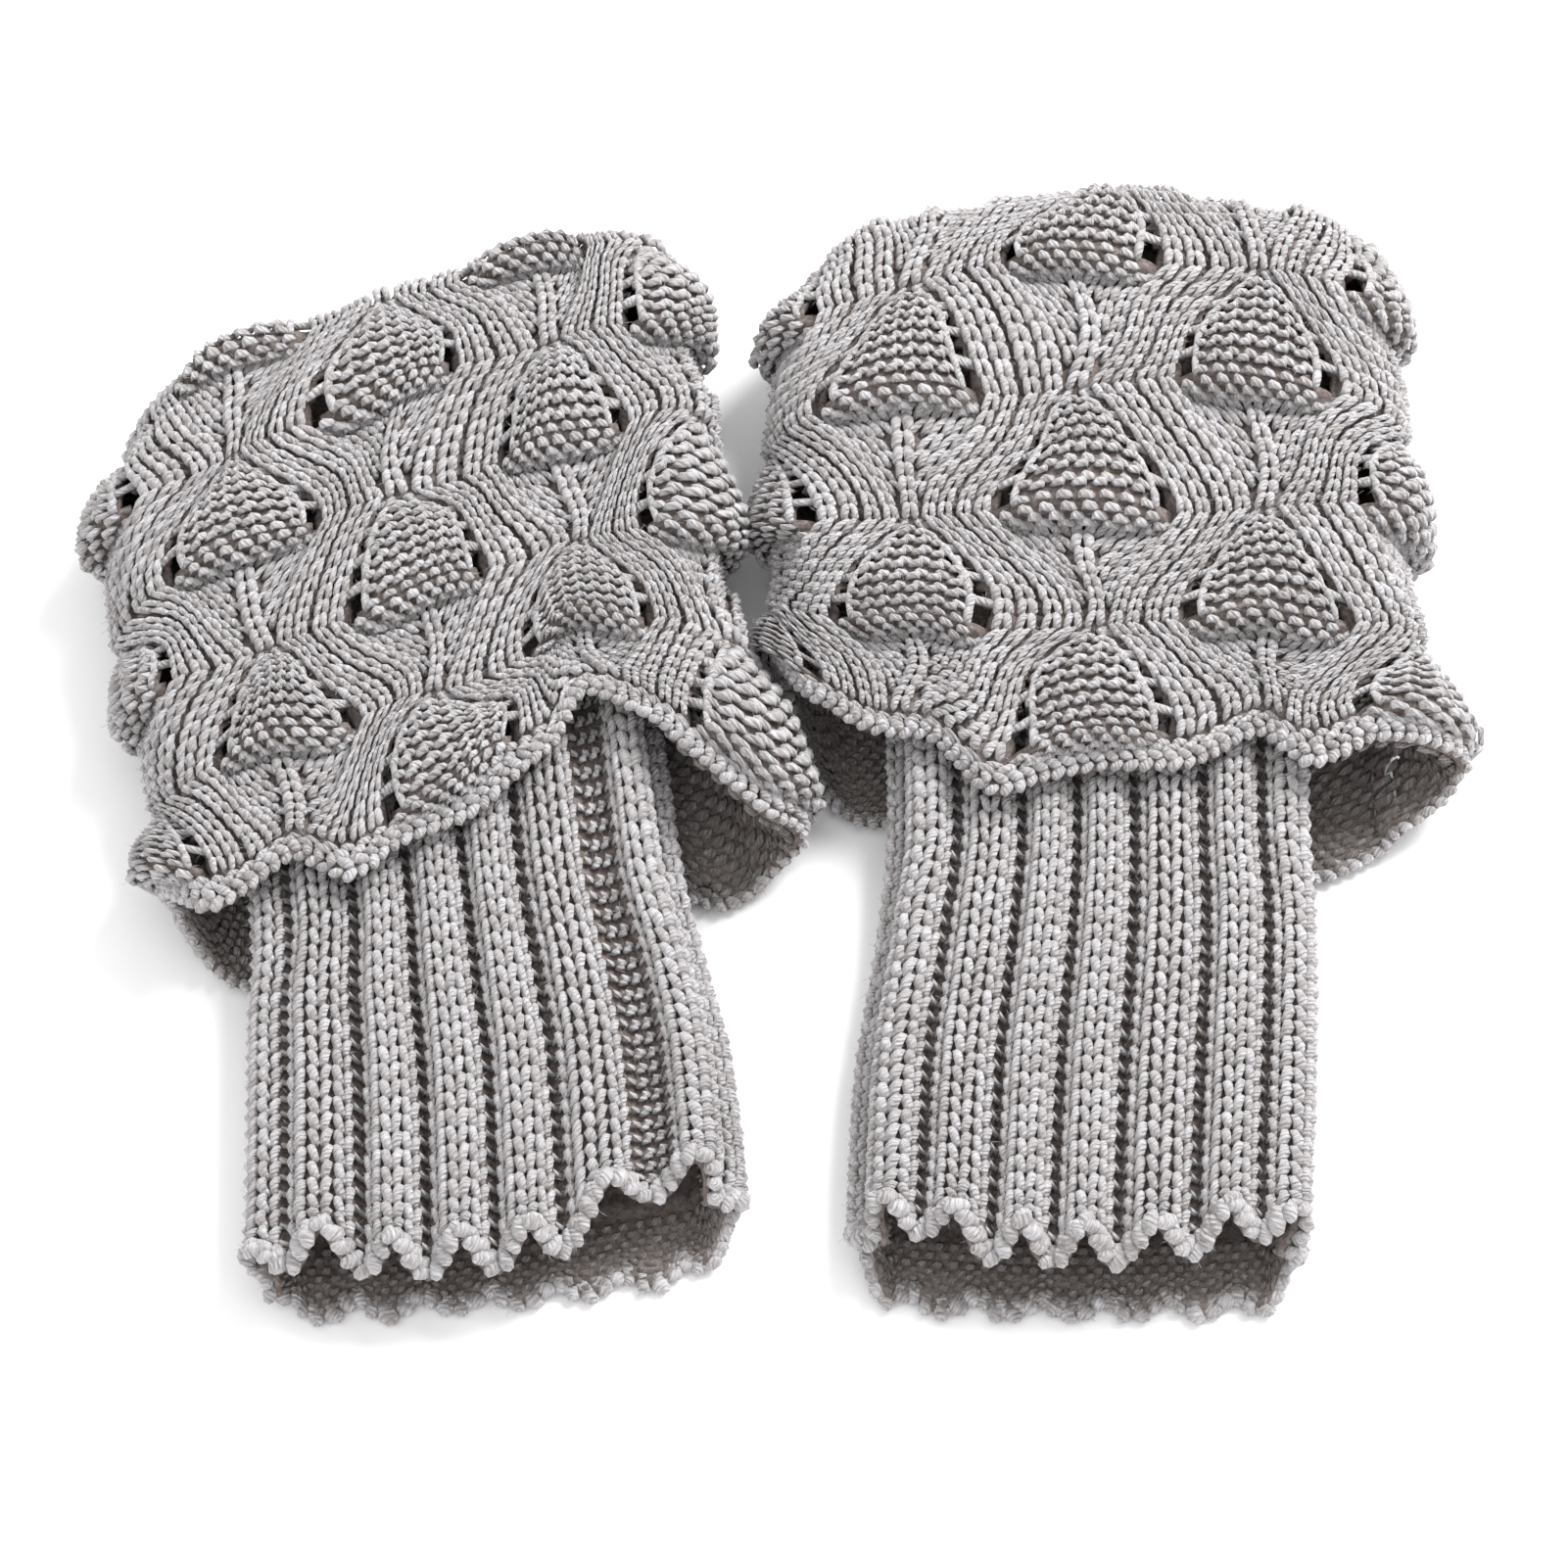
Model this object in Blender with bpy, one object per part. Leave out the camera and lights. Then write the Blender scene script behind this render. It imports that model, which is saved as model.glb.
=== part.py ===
"""Pair of knitted leg warmers lying flat: ribbed legs with a wide lace cuff turned down over them.

The model is in metres, +Z up. X runs to the right of the pair, Y from the leg mouths to the folds.
Every wall is a knitted tube. A point of the cloth is named by how far it lies round the tube
(0 at the left edge, 1/4 on top, 1/2 at the right edge, 3/4 underneath) and how far along it.
"""
import math
from collections import namedtuple

import bmesh
import bpy
import numpy as np

MM = 0.001

# Driving dimensions, in millimetres
WALL = 2.4              # thickness of the plain knitted cloth
SEAM_GAP = 0.7          # between the cuff's turned-in end and the leg
COLUMNS = 8             # columns of the lace pattern round the cuff
HEM_BORDER = 5.0        # garter border below the lowest motif
FOLD_DEPTH = 8.0        # how far the turn of the fold reaches past the last section
TURN_IN = 9.0           # length of cuff turned inside, down to the leg
HEM_REACH = 34.0        # how far up the cuff a small wave of the hem dies out
HEM_REACH_GAIN = 1.6    # and how much further for each millimetre of the wave
FLARE_REACH = 30.0      # how far up the cuff the flare of the hem dies out

# Raised forms of the knitting, above the plain wall
DOME_RISE = 4.8         # purl dome of each motif at its base
RIB_RISE = 2.0          # pair of knit columns that waves between the motifs
SPINE_RISE = 1.5        # centre column that runs down to the next dome
BORDER_RISE = 1.3       # garter ridges at the hem
LEG_RIB_RISE = 1.9      # rib of the leg
MOUTH_CURL = 1.6        # outward curl of each rib's end at the mouth
MOUTH_SCALLOP = 4.5     # how far the edge is drawn back at each rib's middle
UNDER_FADE = 0.45       # relief dies out where the surface turns this far downwards
CUFF_FADE = (26.0, 15.0)    # and over this stretch before the cuff's turned-in end
LEG_FADE = (16.0, 4.0)      # and over this stretch before the leg's top end

# How wide the motif is at its base and at its tip, in column widths
MOTIF_WIDE = 0.45
MOTIF_NARROW = 0.05
COLUMN_WIDTH = 31.0     # about 31 mm round the cuff; the leg is about 166 mm round
LEG_ROUND = 166.0

# One section of the cuff: distance from the hem line, half width, top and bottom height, shift
CuffRow = namedtuple("CuffRow", "along half_width top bottom shift")
# Turn of the fold: how far it reaches in from the sides, the top and the underside, how much
# further its middle lies than its corners, and its right corner than its middle
Fold = namedtuple("Fold", "side top under arch slant")
# Hem all round: place round the tube (in columns), reach up the cuff, flare outwards
HemRow = namedtuple("HemRow", "column reach flare")
# One section of the leg: centre, turn of the row in degrees, half width, top and bottom height
LegRow = namedtuple("LegRow", "x y turn half_width top bottom")
# Mouth of the leg: place round the tube, how far the edge is drawn back
MouthRow = namedtuple("MouthRow", "round back")
# Rib of the leg: its width and the width of the valley after it
Rib = namedtuple("Rib", "width valley")

RIGHT = {
    "name": "right",
    "hem_centre": (53.0, -6.0),
    "column_lean": -3.2,
    "row_turn": 2.0,
    "repeat": 49.5,
    "drift": (0.0, -0.08, -0.06, -0.05, -0.1, 0.0, 0.0, 0.0),
    "cuff": (
        CuffRow(0.0, 55.5, 20.5, 0.0, 1.0),
        CuffRow(25.0, 55.5, 21.5, 0.0, 0.5),
        CuffRow(55.0, 55.8, 23.5, 0.0, -0.5),
        CuffRow(85.0, 56.5, 26.0, 0.0, -2.5),
        CuffRow(106.0, 55.5, 27.5, 0.0, -2.5),
        CuffRow(118.0, 51.5, 26.5, 1.0, -1.5),
    ),
    "fold": Fold(12.0, 10.0, 6.5, 10.0, 0.0),
    "hem": (
        HemRow(0.0, 34.0, 0.5),
        HemRow(0.45, 18.0, 1.0),
        HemRow(0.85, 10.0, 0.5),
        HemRow(1.1, 9.0, 0.5),
        HemRow(1.5, -4.0, 1.0),
        HemRow(1.8, 0.0, 0.0),
        HemRow(2.1, 1.0, 0.5),
        HemRow(2.5, 1.0, 0.5),
        HemRow(2.95, 8.0, 0.0),
        HemRow(3.25, 0.0, 1.5),
        HemRow(3.6, 5.0, 2.5),
        HemRow(4.0, 6.0, 9.0),
        HemRow(4.45, -4.0, 5.0),
        HemRow(4.75, -10.0, 0.0),
        HemRow(5.0, -4.0, 0.0),
        HemRow(5.4, 3.0, 0.0),
        HemRow(6.0, 6.0, 0.0),
        HemRow(6.8, 4.0, 0.0),
        HemRow(7.3, 5.0, 0.0),
        HemRow(7.7, 18.0, 0.0),
    ),
    "leg": (
        LegRow(47.4, -101.0, 0.0, 36.2, 14.5, 0.0),
        LegRow(48.2, -90.0, 0.0, 36.0, 14.5, 0.0),
        LegRow(50.5, -60.0, 0.5, 36.6, 14.5, 0.0),
        LegRow(53.4, -32.0, 1.0, 35.6, 14.5, 0.0),
        LegRow(54.6, -14.0, 1.5, 34.8, 14.8, 3.1),
        LegRow(55.6, 20.0, 2.0, 35.5, 16.3, 3.1),
        LegRow(56.6, 60.0, 2.0, 38.0, 18.0, 3.1),
    ),
    "mouth": (
        MouthRow(0.0, 8.0),
        MouthRow(0.08, 8.0),
        MouthRow(0.16, 3.0),
        MouthRow(0.25, 2.0),
        MouthRow(0.34, 3.0),
        MouthRow(0.42, 7.0),
        MouthRow(0.5, 6.0),
        MouthRow(0.57, -2.0),
        MouthRow(0.75, -3.5),
        MouthRow(0.93, -1.5),
    ),
    "first_rib": -26.5,
    "ribs": (
        Rib(12.1, 1.4), Rib(10.2, 1.4), Rib(10.6, 1.4), Rib(13.0, 1.4), Rib(10.9, 1.4),
        Rib(11.0, 1.4), Rib(11.0, 1.4), Rib(11.0, 1.4), Rib(11.0, 1.4), Rib(10.2, 1.4),
        Rib(11.0, 1.4), Rib(11.0, 1.4), Rib(11.0, 1.4), Rib(11.0, 1.4), Rib(11.0, 1.4),
    ),
}

LEFT = {
    "name": "left",
    "hem_centre": (-52.5, -14.0),
    "column_lean": 10.0,
    "row_turn": 24.0,
    "repeat": 41.5,
    "drift": (0.0, -0.06, -0.08, -0.12, -0.28, -0.15, 0.0, 0.0),
    "cuff": (
        CuffRow(0.0, 54.5, 20.0, 0.0, 0.5),
        CuffRow(25.0, 53.0, 21.0, 0.0, -0.4),
        CuffRow(52.0, 54.6, 22.5, 0.0, -0.8),
        CuffRow(78.0, 56.8, 25.0, 0.0, -0.8),
        CuffRow(95.0, 56.8, 26.0, 0.0, 0.2),
        CuffRow(106.0, 53.0, 25.5, 1.0, 1.5),
    ),
    "fold": Fold(12.0, 9.5, 6.5, 6.0, 1.5),
    "hem": (
        HemRow(0.0, 12.0, 2.0),
        HemRow(0.5, -1.0, 1.0),
        HemRow(0.95, 4.0, 0.0),
        HemRow(1.3, -5.0, 1.0),
        HemRow(1.6, -1.0, 0.5),
        HemRow(2.0, 0.0, 0.0),
        HemRow(2.4, 5.0, 1.0),
        HemRow(2.62, 8.0, 1.0),
        HemRow(2.85, 15.0, 2.5),
        HemRow(3.2, 7.0, 3.0),
        HemRow(3.6, -9.0, 3.0),
        HemRow(4.0, -22.0, 2.0),
        HemRow(4.4, -22.0, 2.0),
        HemRow(4.8, -24.0, 0.0),
        HemRow(5.2, -10.0, 0.0),
        HemRow(6.0, 6.0, 0.0),
        HemRow(6.9, 0.0, 0.0),
        HemRow(7.35, -7.0, 0.0),
        HemRow(7.7, 0.0, 0.0),
    ),
    "leg": (
        LegRow(-45.6, -100.0, 6.0, 38.5, 14.5, 0.0),
        LegRow(-46.4, -88.0, 6.0, 38.4, 14.5, 0.0),
        LegRow(-48.6, -61.0, 7.0, 37.8, 14.5, 0.0),
        LegRow(-50.8, -46.0, 9.0, 36.6, 14.4, 0.0),
        LegRow(-53.6, -26.0, 12.5, 34.8, 14.5, 3.2),
        LegRow(-58.5, 12.0, 21.0, 35.5, 16.0, 3.2),
        LegRow(-65.0, 50.0, 24.0, 38.5, 17.3, 3.2),
    ),
    "mouth": (
        MouthRow(0.0, 4.0),
        MouthRow(0.08, 4.0),
        MouthRow(0.16, 0.0),
        MouthRow(0.25, 0.0),
        MouthRow(0.31, 2.0),
        MouthRow(0.36, 9.0),
        MouthRow(0.44, 12.0),
        MouthRow(0.5, 9.0),
        MouthRow(0.57, 0.0),
        MouthRow(0.75, -2.5),
        MouthRow(0.93, -1.0),
    ),
    "first_rib": -34.0,
    "ribs": (
        Rib(12.8, 1.4), Rib(10.6, 1.4), Rib(10.9, 1.4), Rib(10.8, 1.4), Rib(18.0, 6.4),
        Rib(10.5, 1.4), Rib(10.8, 1.4), Rib(10.8, 1.4), Rib(10.8, 1.4), Rib(10.8, 1.4),
        Rib(10.8, 1.4), Rib(10.8, 1.4), Rib(10.8, 1.4), Rib(10.8, 1.4), Rib(10.8, 1.4),
    ),
}

# Middle of the pair before it is moved to the origin
PAIR_MIDDLE = np.array([-2.74, 13.27, 0.0])

# Columns whose relief is modelled finely: the left edge, the three on top and the right edge
FINE_COLUMNS = 5
# Rows of points between one line of domes and the next, as parts of half a repeat
ROWS_PER_LINE = (0.025, 0.15, 0.31, 0.48, 0.65, 0.82, 0.975)
ROW_ABOVE = 4.0         # spacing of the rows of points from the last dome over the fold
FOLD_STEPS = 8
NORMAL_STEP = 0.6       # distance between the points that a surface direction is taken from
# Rows of points of the cuff's inner face: back from its turned-in end, then from the hem
CUFF_INNER_BACK = (0.0, 4.0, 9.2, 14.4, 19.6, 24.8, 30.0)
CUFF_INNER_LENGTHS = (100.0, 78.0, 52.0, 26.0, 8.0, 0.0)
# Rows of points of the leg from the mouth, then back from its top end
LEG_LENGTHS = (0.0, 1.8, 6.0, 16.0, 32.0, 50.0, 68.0, 82.0, 92.0, 104.0, 122.0, 145.0, 168.0)
LEG_BACK = (18.0, 6.0, 0.0)
LEG_INNER_BACK = (0.0, 14.0)
LEG_INNER_LENGTHS = (150.0, 120.0, 96.0, 80.0, 50.0, 20.0, 6.0, 0.0)
LEG_STRAIGHT_END = 20.0     # the leg's last stretch has one section throughout
MOUTH_REACH = 9.0       # how far up the leg the curled ends of the ribs reach
WIDE_VALLEY = 3.0       # a valley wider than this is a trough of its own
# Ribs that lie on top, by the distance of their start from the leg's middle, are modelled finely
FINE_RIBS = (-48.0, 40.0)


def smooth_between(x, knots, values):
    """Curve through (knots, values) that never swings past them: cubic, level at each peak."""
    knots = np.asarray(knots, float)
    values = np.asarray(values, float)
    rates = np.diff(values) / np.diff(knots)
    before, after = rates[:-1], rates[1:]
    total = np.where(before * after > 0, before + after, 1.0)
    inner = np.where(before * after > 0, 2 * before * after / total, 0.0)
    slopes = np.concatenate([rates[:1], inner, rates[-1:]])
    x = np.clip(x, knots[0], knots[-1])
    i = np.clip(np.searchsorted(knots, x) - 1, 0, len(knots) - 2)
    span = knots[i + 1] - knots[i]
    t = (x - knots[i]) / span
    return ((2 * t ** 3 - 3 * t ** 2 + 1) * values[i] + (t ** 3 - 2 * t ** 2 + t) * span * slopes[i]
            + (3 * t ** 2 - 2 * t ** 3) * values[i + 1] + (t ** 3 - t ** 2) * span * slopes[i + 1])


def smooth_round(x, period, knots, values):
    """The same curve round a closed tube of the given period."""
    knots = np.asarray(knots, float)
    values = np.asarray(values, float)
    wrapped = np.concatenate([knots[-3:] - period, knots, knots[:3] + period])
    return smooth_between(np.mod(x, period), wrapped, np.concatenate([values[-3:], values, values[:3]]))


def ease(x, start, end):
    """0 up to start, 1 from end, and a soft slope between."""
    t = np.clip((x - start) / (end - start), 0.0, 1.0)
    return t * t * (3 - 2 * t)


def flat_tube(part_round, half_width, top, bottom):
    """Point of a flattened tube's section: straight on top and underneath, round at both edges."""
    radius = (top - bottom) / 2
    straight = half_width - radius
    whole = 4 * straight + 2 * math.pi * radius
    arc = (np.mod(part_round + 0.25, 1.0) - 0.5) * whole
    side = np.where(arc < 0, -1.0, 1.0)
    bend = np.clip((np.abs(arc) - straight) / radius, 0.0, math.pi)
    past = np.clip(np.abs(arc) - straight - math.pi * radius, 0.0, None)
    x = side * (np.minimum(np.abs(arc), straight) + radius * np.sin(bend) - past)
    z = top - radius + radius * np.cos(bend)
    return x, z


def cuff_profile(warmer):
    """Sections of the cuff from the hem over the fold to its turned-in end, with their lengths."""
    rows = [list(row) for row in warmer["cuff"]]
    fold = warmer["fold"]
    last = warmer["cuff"][-1]
    for step in range(1, FOLD_STEPS + 1):
        angle = math.pi * step / FOLD_STEPS
        inset = (1 - math.cos(angle)) / 2
        rows.append([last.along + FOLD_DEPTH * math.sin(angle), last.half_width - fold.side * inset,
                     last.top - fold.top * inset, last.bottom + fold.under * inset, last.shift])
    end = list(rows[-1])
    end[0] -= TURN_IN
    rows.append(end)
    rows = np.array(rows)
    steps = np.hypot(np.diff(rows[:, 0]), np.diff(rows[:, 2]))
    return np.concatenate([[0.0], np.cumsum(steps)]), rows


def cuff_length(warmer):
    return cuff_profile(warmer)[0][-1]


def directions(warmer):
    """Direction along the cuff's columns and direction along its rows, on the surface."""
    lean = math.radians(warmer["column_lean"])
    turn = math.radians(warmer["row_turn"])
    return np.array([-math.sin(lean), math.cos(lean)]), np.array([math.cos(turn), math.sin(turn)])


def fold_arch(warmer, x, along):
    """How much further out the fold lies in its middle and to its right."""
    last = warmer["cuff"][-1]
    out = np.clip(x / last.half_width, -1, 1)
    further = warmer["fold"].arch * (1 - out ** 2) + warmer["fold"].slant * out
    return further * ease(along, last.along * 0.35, last.along)


def cuff_base(warmer, length, column):
    """Plain outer face of the cuff at a length from the hem and a place round it."""
    lengths, rows = cuff_profile(warmer)
    hem = warmer["hem"]
    knots = [row.column for row in hem]
    reach = smooth_round(column, COLUMNS, knots, [row.reach for row in hem])
    up = np.clip(1 - length / (HEM_REACH + HEM_REACH_GAIN * np.abs(reach)), 0.0, 1.0)
    reach = reach * up ** 1.7
    flare = smooth_round(column, COLUMNS, knots, [row.flare for row in hem])
    flare = flare * np.clip(1 - length / FLARE_REACH, 0.0, 1.0) ** 1.5
    at = length + reach
    along, half_width, top, bottom, shift = [smooth_between(at, lengths, rows[:, i]) for i in range(5)]
    # The hem may reach past the first section, which then simply goes on
    along = along + np.minimum(at, 0.0)
    drift = smooth_round(column, COLUMNS, range(COLUMNS), warmer["drift"])
    x, z = flat_tube((column + drift) / COLUMNS, half_width, top, bottom)
    along = along + fold_arch(warmer, x, along)
    edge = np.clip(np.abs(x) / half_width, 0, 1) ** 6
    x = x + np.sign(x) * flare * edge
    z = z + flare * (1 - edge) * (z > bottom + 1.0)
    columns_way, rows_way = directions(warmer)
    place = (np.asarray(warmer["hem_centre"]) + along[..., None] * columns_way
             + (x + shift)[..., None] * rows_way)
    return np.concatenate([place, z[..., None]], axis=-1)


def facing(base, warmer, length, round_place, round_step):
    """Unit direction out of a tube's surface."""
    across = base(warmer, length, round_place + round_step) - base(warmer, length, round_place - round_step)
    ahead, behind = length + NORMAL_STEP, length - NORMAL_STEP
    forward = base(warmer, ahead, round_place) - base(warmer, behind, round_place)
    out = np.cross(across, forward)
    return out / np.linalg.norm(out, axis=-1, keepdims=True)


def cuff_point(warmer, length, column, rise):
    """Point of the cuff, raised off its plain outer face; what rests underneath stays flat."""
    length = np.asarray(length, float)
    column = np.asarray(column, float)
    out = facing(cuff_base, warmer, length, column, NORMAL_STEP / COLUMN_WIDTH)
    whole = cuff_length(warmer)
    inside = ease(length, whole - CUFF_FADE[0], whole - CUFF_FADE[1])
    shown = np.clip(1 + out[..., 2] / UNDER_FADE, 0.0, 1.0) * (1 - inside)
    rise = np.where(np.asarray(rise) > 0, rise * shown, rise)
    return cuff_base(warmer, length, column) + out * rise[..., None]


def phase(warmer, length, column):
    """Place in the lace repeat: 0 at a dome's base, 1/2 at its tip, back to 1 under the next base."""
    first = HEM_BORDER + (warmer["repeat"] / 2) * (column % 2)
    return ((length - first) / warmer["repeat"]) % 1.0


def motif_half(place):
    """Half the width of a motif, in columns: the dome's sides are round, the fan's hollow."""
    place = place % 1.0
    if place < 0.5:
        share = 1 - (2 * place) ** 2
    else:
        share = (2 * place - 1) ** 1.5
    return MOTIF_NARROW + (MOTIF_WIDE - MOTIF_NARROW) * share


def motif_heights(place):
    """Relief at the motif's centre, halfway out and at its edge, at a place in the repeat."""
    if place < 0.5:
        swell = math.sin(math.pi * min(1.0, (0.5 - place) * 2.6) / 2)
        return 0.8 + DOME_RISE * swell, 0.7 + DOME_RISE * 0.78 * swell, 0.4 + 0.5 * swell
    run = 1 - (place - 0.5) * 2
    return 0.2 + SPINE_RISE * run, 0.1 + 0.8 * run, 0.5


def cuff_ring_places(warmer, length):
    """Places round the cuff and relief of one ring of points, along the waving columns."""
    places = []
    rises = []
    for column in range(COLUMNS):
        place = phase(warmer, length, column)
        half = motif_half(place)
        band = 1 - half - motif_half(place + 0.5)
        centre, middle, edge = motif_heights(place)
        if column < FINE_COLUMNS:
            spots = ((-half - band / 4, RIB_RISE), (-half, edge), (-half / 2, middle), (0.0, centre),
                     (half / 2, middle), (half, edge), (half + band / 4, RIB_RISE),
                     (half + band / 2, 0.2))
        else:
            spots = ((-half, edge), (0.0, centre), (half, edge), (half + band / 2, 0.2))
        for offset, rise in spots:
            places.append(column + offset)
            rises.append(rise)
    rises = np.array(rises)
    if length < HEM_BORDER - 1:
        rises = BORDER_RISE + 0.35 * (rises - BORDER_RISE)
    return np.array(places), rises


def cuff_lengths(warmer):
    """Rows of points along the cuff, close together where each dome ends in a step."""
    whole = cuff_length(warmer)
    rows = [0.0, 2.0, HEM_BORDER - 1.2]
    line = HEM_BORDER
    between = warmer["repeat"] / 2
    while line + between < whole - 12:
        rows += [line + part * between for part in ROWS_PER_LINE]
        line += between
    rest = whole - rows[-1]
    count = round(rest / ROW_ABOVE)
    return rows + [rows[-1] + rest * (i + 1) / count for i in range(count)]


def add_ring(mesh, points):
    return [mesh.verts.new(tuple(point)) for point in points]


def join_rings(mesh, first, second):
    """Wall between two closed rings; the second has as many points, or half as many."""
    count = len(first)
    pairs = count // len(second)
    for i in range(count):
        j = (i + 1) % count
        a = second[i // pairs]
        b = second[(j // pairs) % len(second)]
        if a is b:
            mesh.faces.new((first[i], first[j], a))
        else:
            mesh.faces.new((first[i], first[j], b))
            mesh.faces.new((first[i], b, a))


def finish_tube(name, outer_rings, inner_rings, finish):
    """Closed wall from rings of the outer face and rings of the inner face, end to end."""
    mesh = bmesh.new()
    outer = [add_ring(mesh, (ring - PAIR_MIDDLE) * MM) for ring in outer_rings]
    inner = [add_ring(mesh, (ring - PAIR_MIDDLE) * MM) for ring in inner_rings]
    for first, second in zip(outer, outer[1:]):
        join_rings(mesh, first, second)
    join_rings(mesh, outer[-1], inner[0])
    for first, second in zip(inner, inner[1:]):
        join_rings(mesh, first, second)
    last = inner[-1]
    start = outer[0]
    pairs = len(start) // len(last)
    for i in range(len(start)):
        j = (i + 1) % len(start)
        a = last[i // pairs]
        b = last[(j // pairs) % len(last)]
        if a is b:
            mesh.faces.new((start[j], start[i], a))
        else:
            mesh.faces.new((start[j], start[i], b))
            mesh.faces.new((start[i], a, b))
    bmesh.ops.triangulate(mesh, faces=mesh.faces[:])
    bmesh.ops.recalc_face_normals(mesh, faces=mesh.faces[:])
    data = bpy.data.meshes.new(name)
    mesh.to_mesh(data)
    mesh.free()
    data.shade_smooth()
    data.materials.append(finish)
    piece = bpy.data.objects.new(name, data)
    bpy.context.scene.collection.objects.link(piece)
    return piece


def build_cuff(warmer, finish):
    outer = []
    for length in cuff_lengths(warmer):
        places, rises = cuff_ring_places(warmer, length)
        outer.append(cuff_point(warmer, np.full(len(places), length), places, rises))
    inner = []
    whole = cuff_length(warmer)
    for length in [whole - back for back in CUFF_INNER_BACK] + list(CUFF_INNER_LENGTHS):
        places, rises = cuff_ring_places(warmer, length)
        places = places[::2]
        inner.append(cuff_point(warmer, np.full(len(places), length), places, np.full(len(places), -WALL)))
    return finish_tube("lace_cuff_" + warmer["name"], outer, inner, finish)


def leg_rows(warmer):
    """Sections of the leg, the last of them at the cuff's turned-in end."""
    along, half_width, top, bottom, shift = cuff_profile(warmer)[1][-1]
    columns_way, rows_way = directions(warmer)
    centre = np.asarray(warmer["hem_centre"]) + (along - SEAM_GAP) * columns_way + shift * rows_way
    sections = [list(row) for row in warmer["leg"]]
    for back in (LEG_STRAIGHT_END, 0.0):
        x, y = centre - columns_way * back
        sections.append([x, y, warmer["row_turn"], half_width + WALL, top + WALL, bottom - WALL])
    sections = np.array(sections)
    steps = np.hypot(np.diff(sections[:, 0]), np.diff(sections[:, 1]))
    return np.concatenate([[0.0], np.cumsum(steps)]), sections


def leg_length(warmer):
    return leg_rows(warmer)[0][-1]


def leg_base(warmer, length, part_round):
    """Plain outer face of the leg, at the level of the valleys between its ribs."""
    lengths, sections = leg_rows(warmer)
    mouth = warmer["mouth"]
    back = smooth_round(part_round, 1.0, [row.round for row in mouth], [row.back for row in mouth])
    at = length + back * np.clip(1 - length / 60.0, 0.0, 1.0) ** 1.3
    x0, y0, turn, half_width, top, bottom = [smooth_between(at, lengths, sections[:, i]) for i in range(6)]
    before = np.minimum(at, 0.0)
    x, z = flat_tube(part_round, half_width, top, bottom)
    turn = np.radians(turn)
    past = np.maximum(at - lengths[-1], 0.0) + before
    # The arch of the fold carries on into the leg's top end
    lean = math.radians(warmer["column_lean"])
    end = warmer["cuff"][-1].along - TURN_IN
    further = past + fold_arch(warmer, x, end - (lengths[-1] - at))
    place_x = x0 + x * np.cos(turn) - further * math.sin(lean)
    place_y = y0 + x * np.sin(turn) + further * math.cos(lean)
    return np.stack([place_x, place_y, z], axis=-1)


def leg_point(warmer, length, part_round, rise, curl=0.0):
    length = np.asarray(length, float)
    part_round = np.asarray(part_round, float)
    out = facing(leg_base, warmer, length, part_round, NORMAL_STEP / LEG_ROUND)
    shown = np.clip(1 + out[..., 2] / UNDER_FADE, 0.0, 1.0)
    whole = leg_length(warmer)
    top_end = 1 - ease(length, whole - LEG_FADE[0], whole - LEG_FADE[1])
    rise = np.where(np.asarray(rise) > 0, rise * shown * top_end, rise) + curl * shown
    return leg_base(warmer, length, part_round) + out * rise[..., None]


def leg_spots(warmer):
    """Places round the leg, in parts of the whole way, and the shape of the rib there (0 to 1)."""
    whole = sum(rib.width for rib in warmer["ribs"])
    at = warmer["first_rib"]
    places = []
    shapes = []
    for rib in warmer["ribs"]:
        body = rib.width - rib.valley
        if FINE_RIBS[0] < at < FINE_RIBS[1]:
            spots = [(0.0, 0.1), (0.16, 0.8), (0.5, 1.0), (0.84, 0.8)]
        else:
            spots = [(0.0, 0.1), (0.5, 1.0)]
        for part, shape in spots:
            places.append(at + part * body)
            shapes.append(shape)
        if rib.valley > WIDE_VALLEY:
            places += [at + body + 0.2, at + body + rib.valley * 0.5]
            shapes += [0.1, -0.3]
        at += rib.width
    return 0.25 + np.array(places) / whole, np.array(shapes)


def build_leg(warmer, finish):
    places, shapes = leg_spots(warmer)
    if len(places) % 2:
        places = np.append(places, (places[-1] + places[0] + 1) / 2)
        shapes = np.append(shapes, 0.6)
    whole = leg_length(warmer)
    outer = []
    for length in list(LEG_LENGTHS) + [whole - back for back in LEG_BACK]:
        near_mouth = np.clip(1 - length / MOUTH_REACH, 0.0, 1.0)
        scallop = MOUTH_SCALLOP * near_mouth * np.clip(shapes, 0, 1)
        curl = MOUTH_CURL * near_mouth ** 2 * np.clip(shapes, 0, 1)
        outer.append(leg_point(warmer, length + scallop, places, LEG_RIB_RISE * shapes, curl))
    inner = []
    for length in [whole - back for back in LEG_INNER_BACK] + list(LEG_INNER_LENGTHS):
        near_mouth = np.clip(1 - length / MOUTH_REACH, 0.0, 1.0)
        scallop = MOUTH_SCALLOP * near_mouth * np.clip(shapes[::2], 0, 1)
        inner.append(leg_point(warmer, length + scallop, places[::2], np.full(len(places[::2]), -WALL)))
    return finish_tube("ribbed_leg_" + warmer["name"], outer, inner, finish)


def knit_finish():
    """Matt heathered yarn of warm light grey."""
    finish = bpy.data.materials.new("heather grey acrylic wool knit")
    finish.use_nodes = True
    shader = finish.node_tree.nodes["Principled BSDF"]
    shader.inputs["Base Color"].default_value = (0.42, 0.39, 0.375, 1.0)
    shader.inputs["Roughness"].default_value = 0.95
    shader.inputs["Metallic"].default_value = 0.0
    return finish


def build_all():
    for item in list(bpy.data.objects):
        bpy.data.objects.remove(item, do_unlink=True)
    finish = knit_finish()
    for warmer in (LEFT, RIGHT):
        build_leg(warmer, finish)
        build_cuff(warmer, finish)


build_all()
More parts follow.
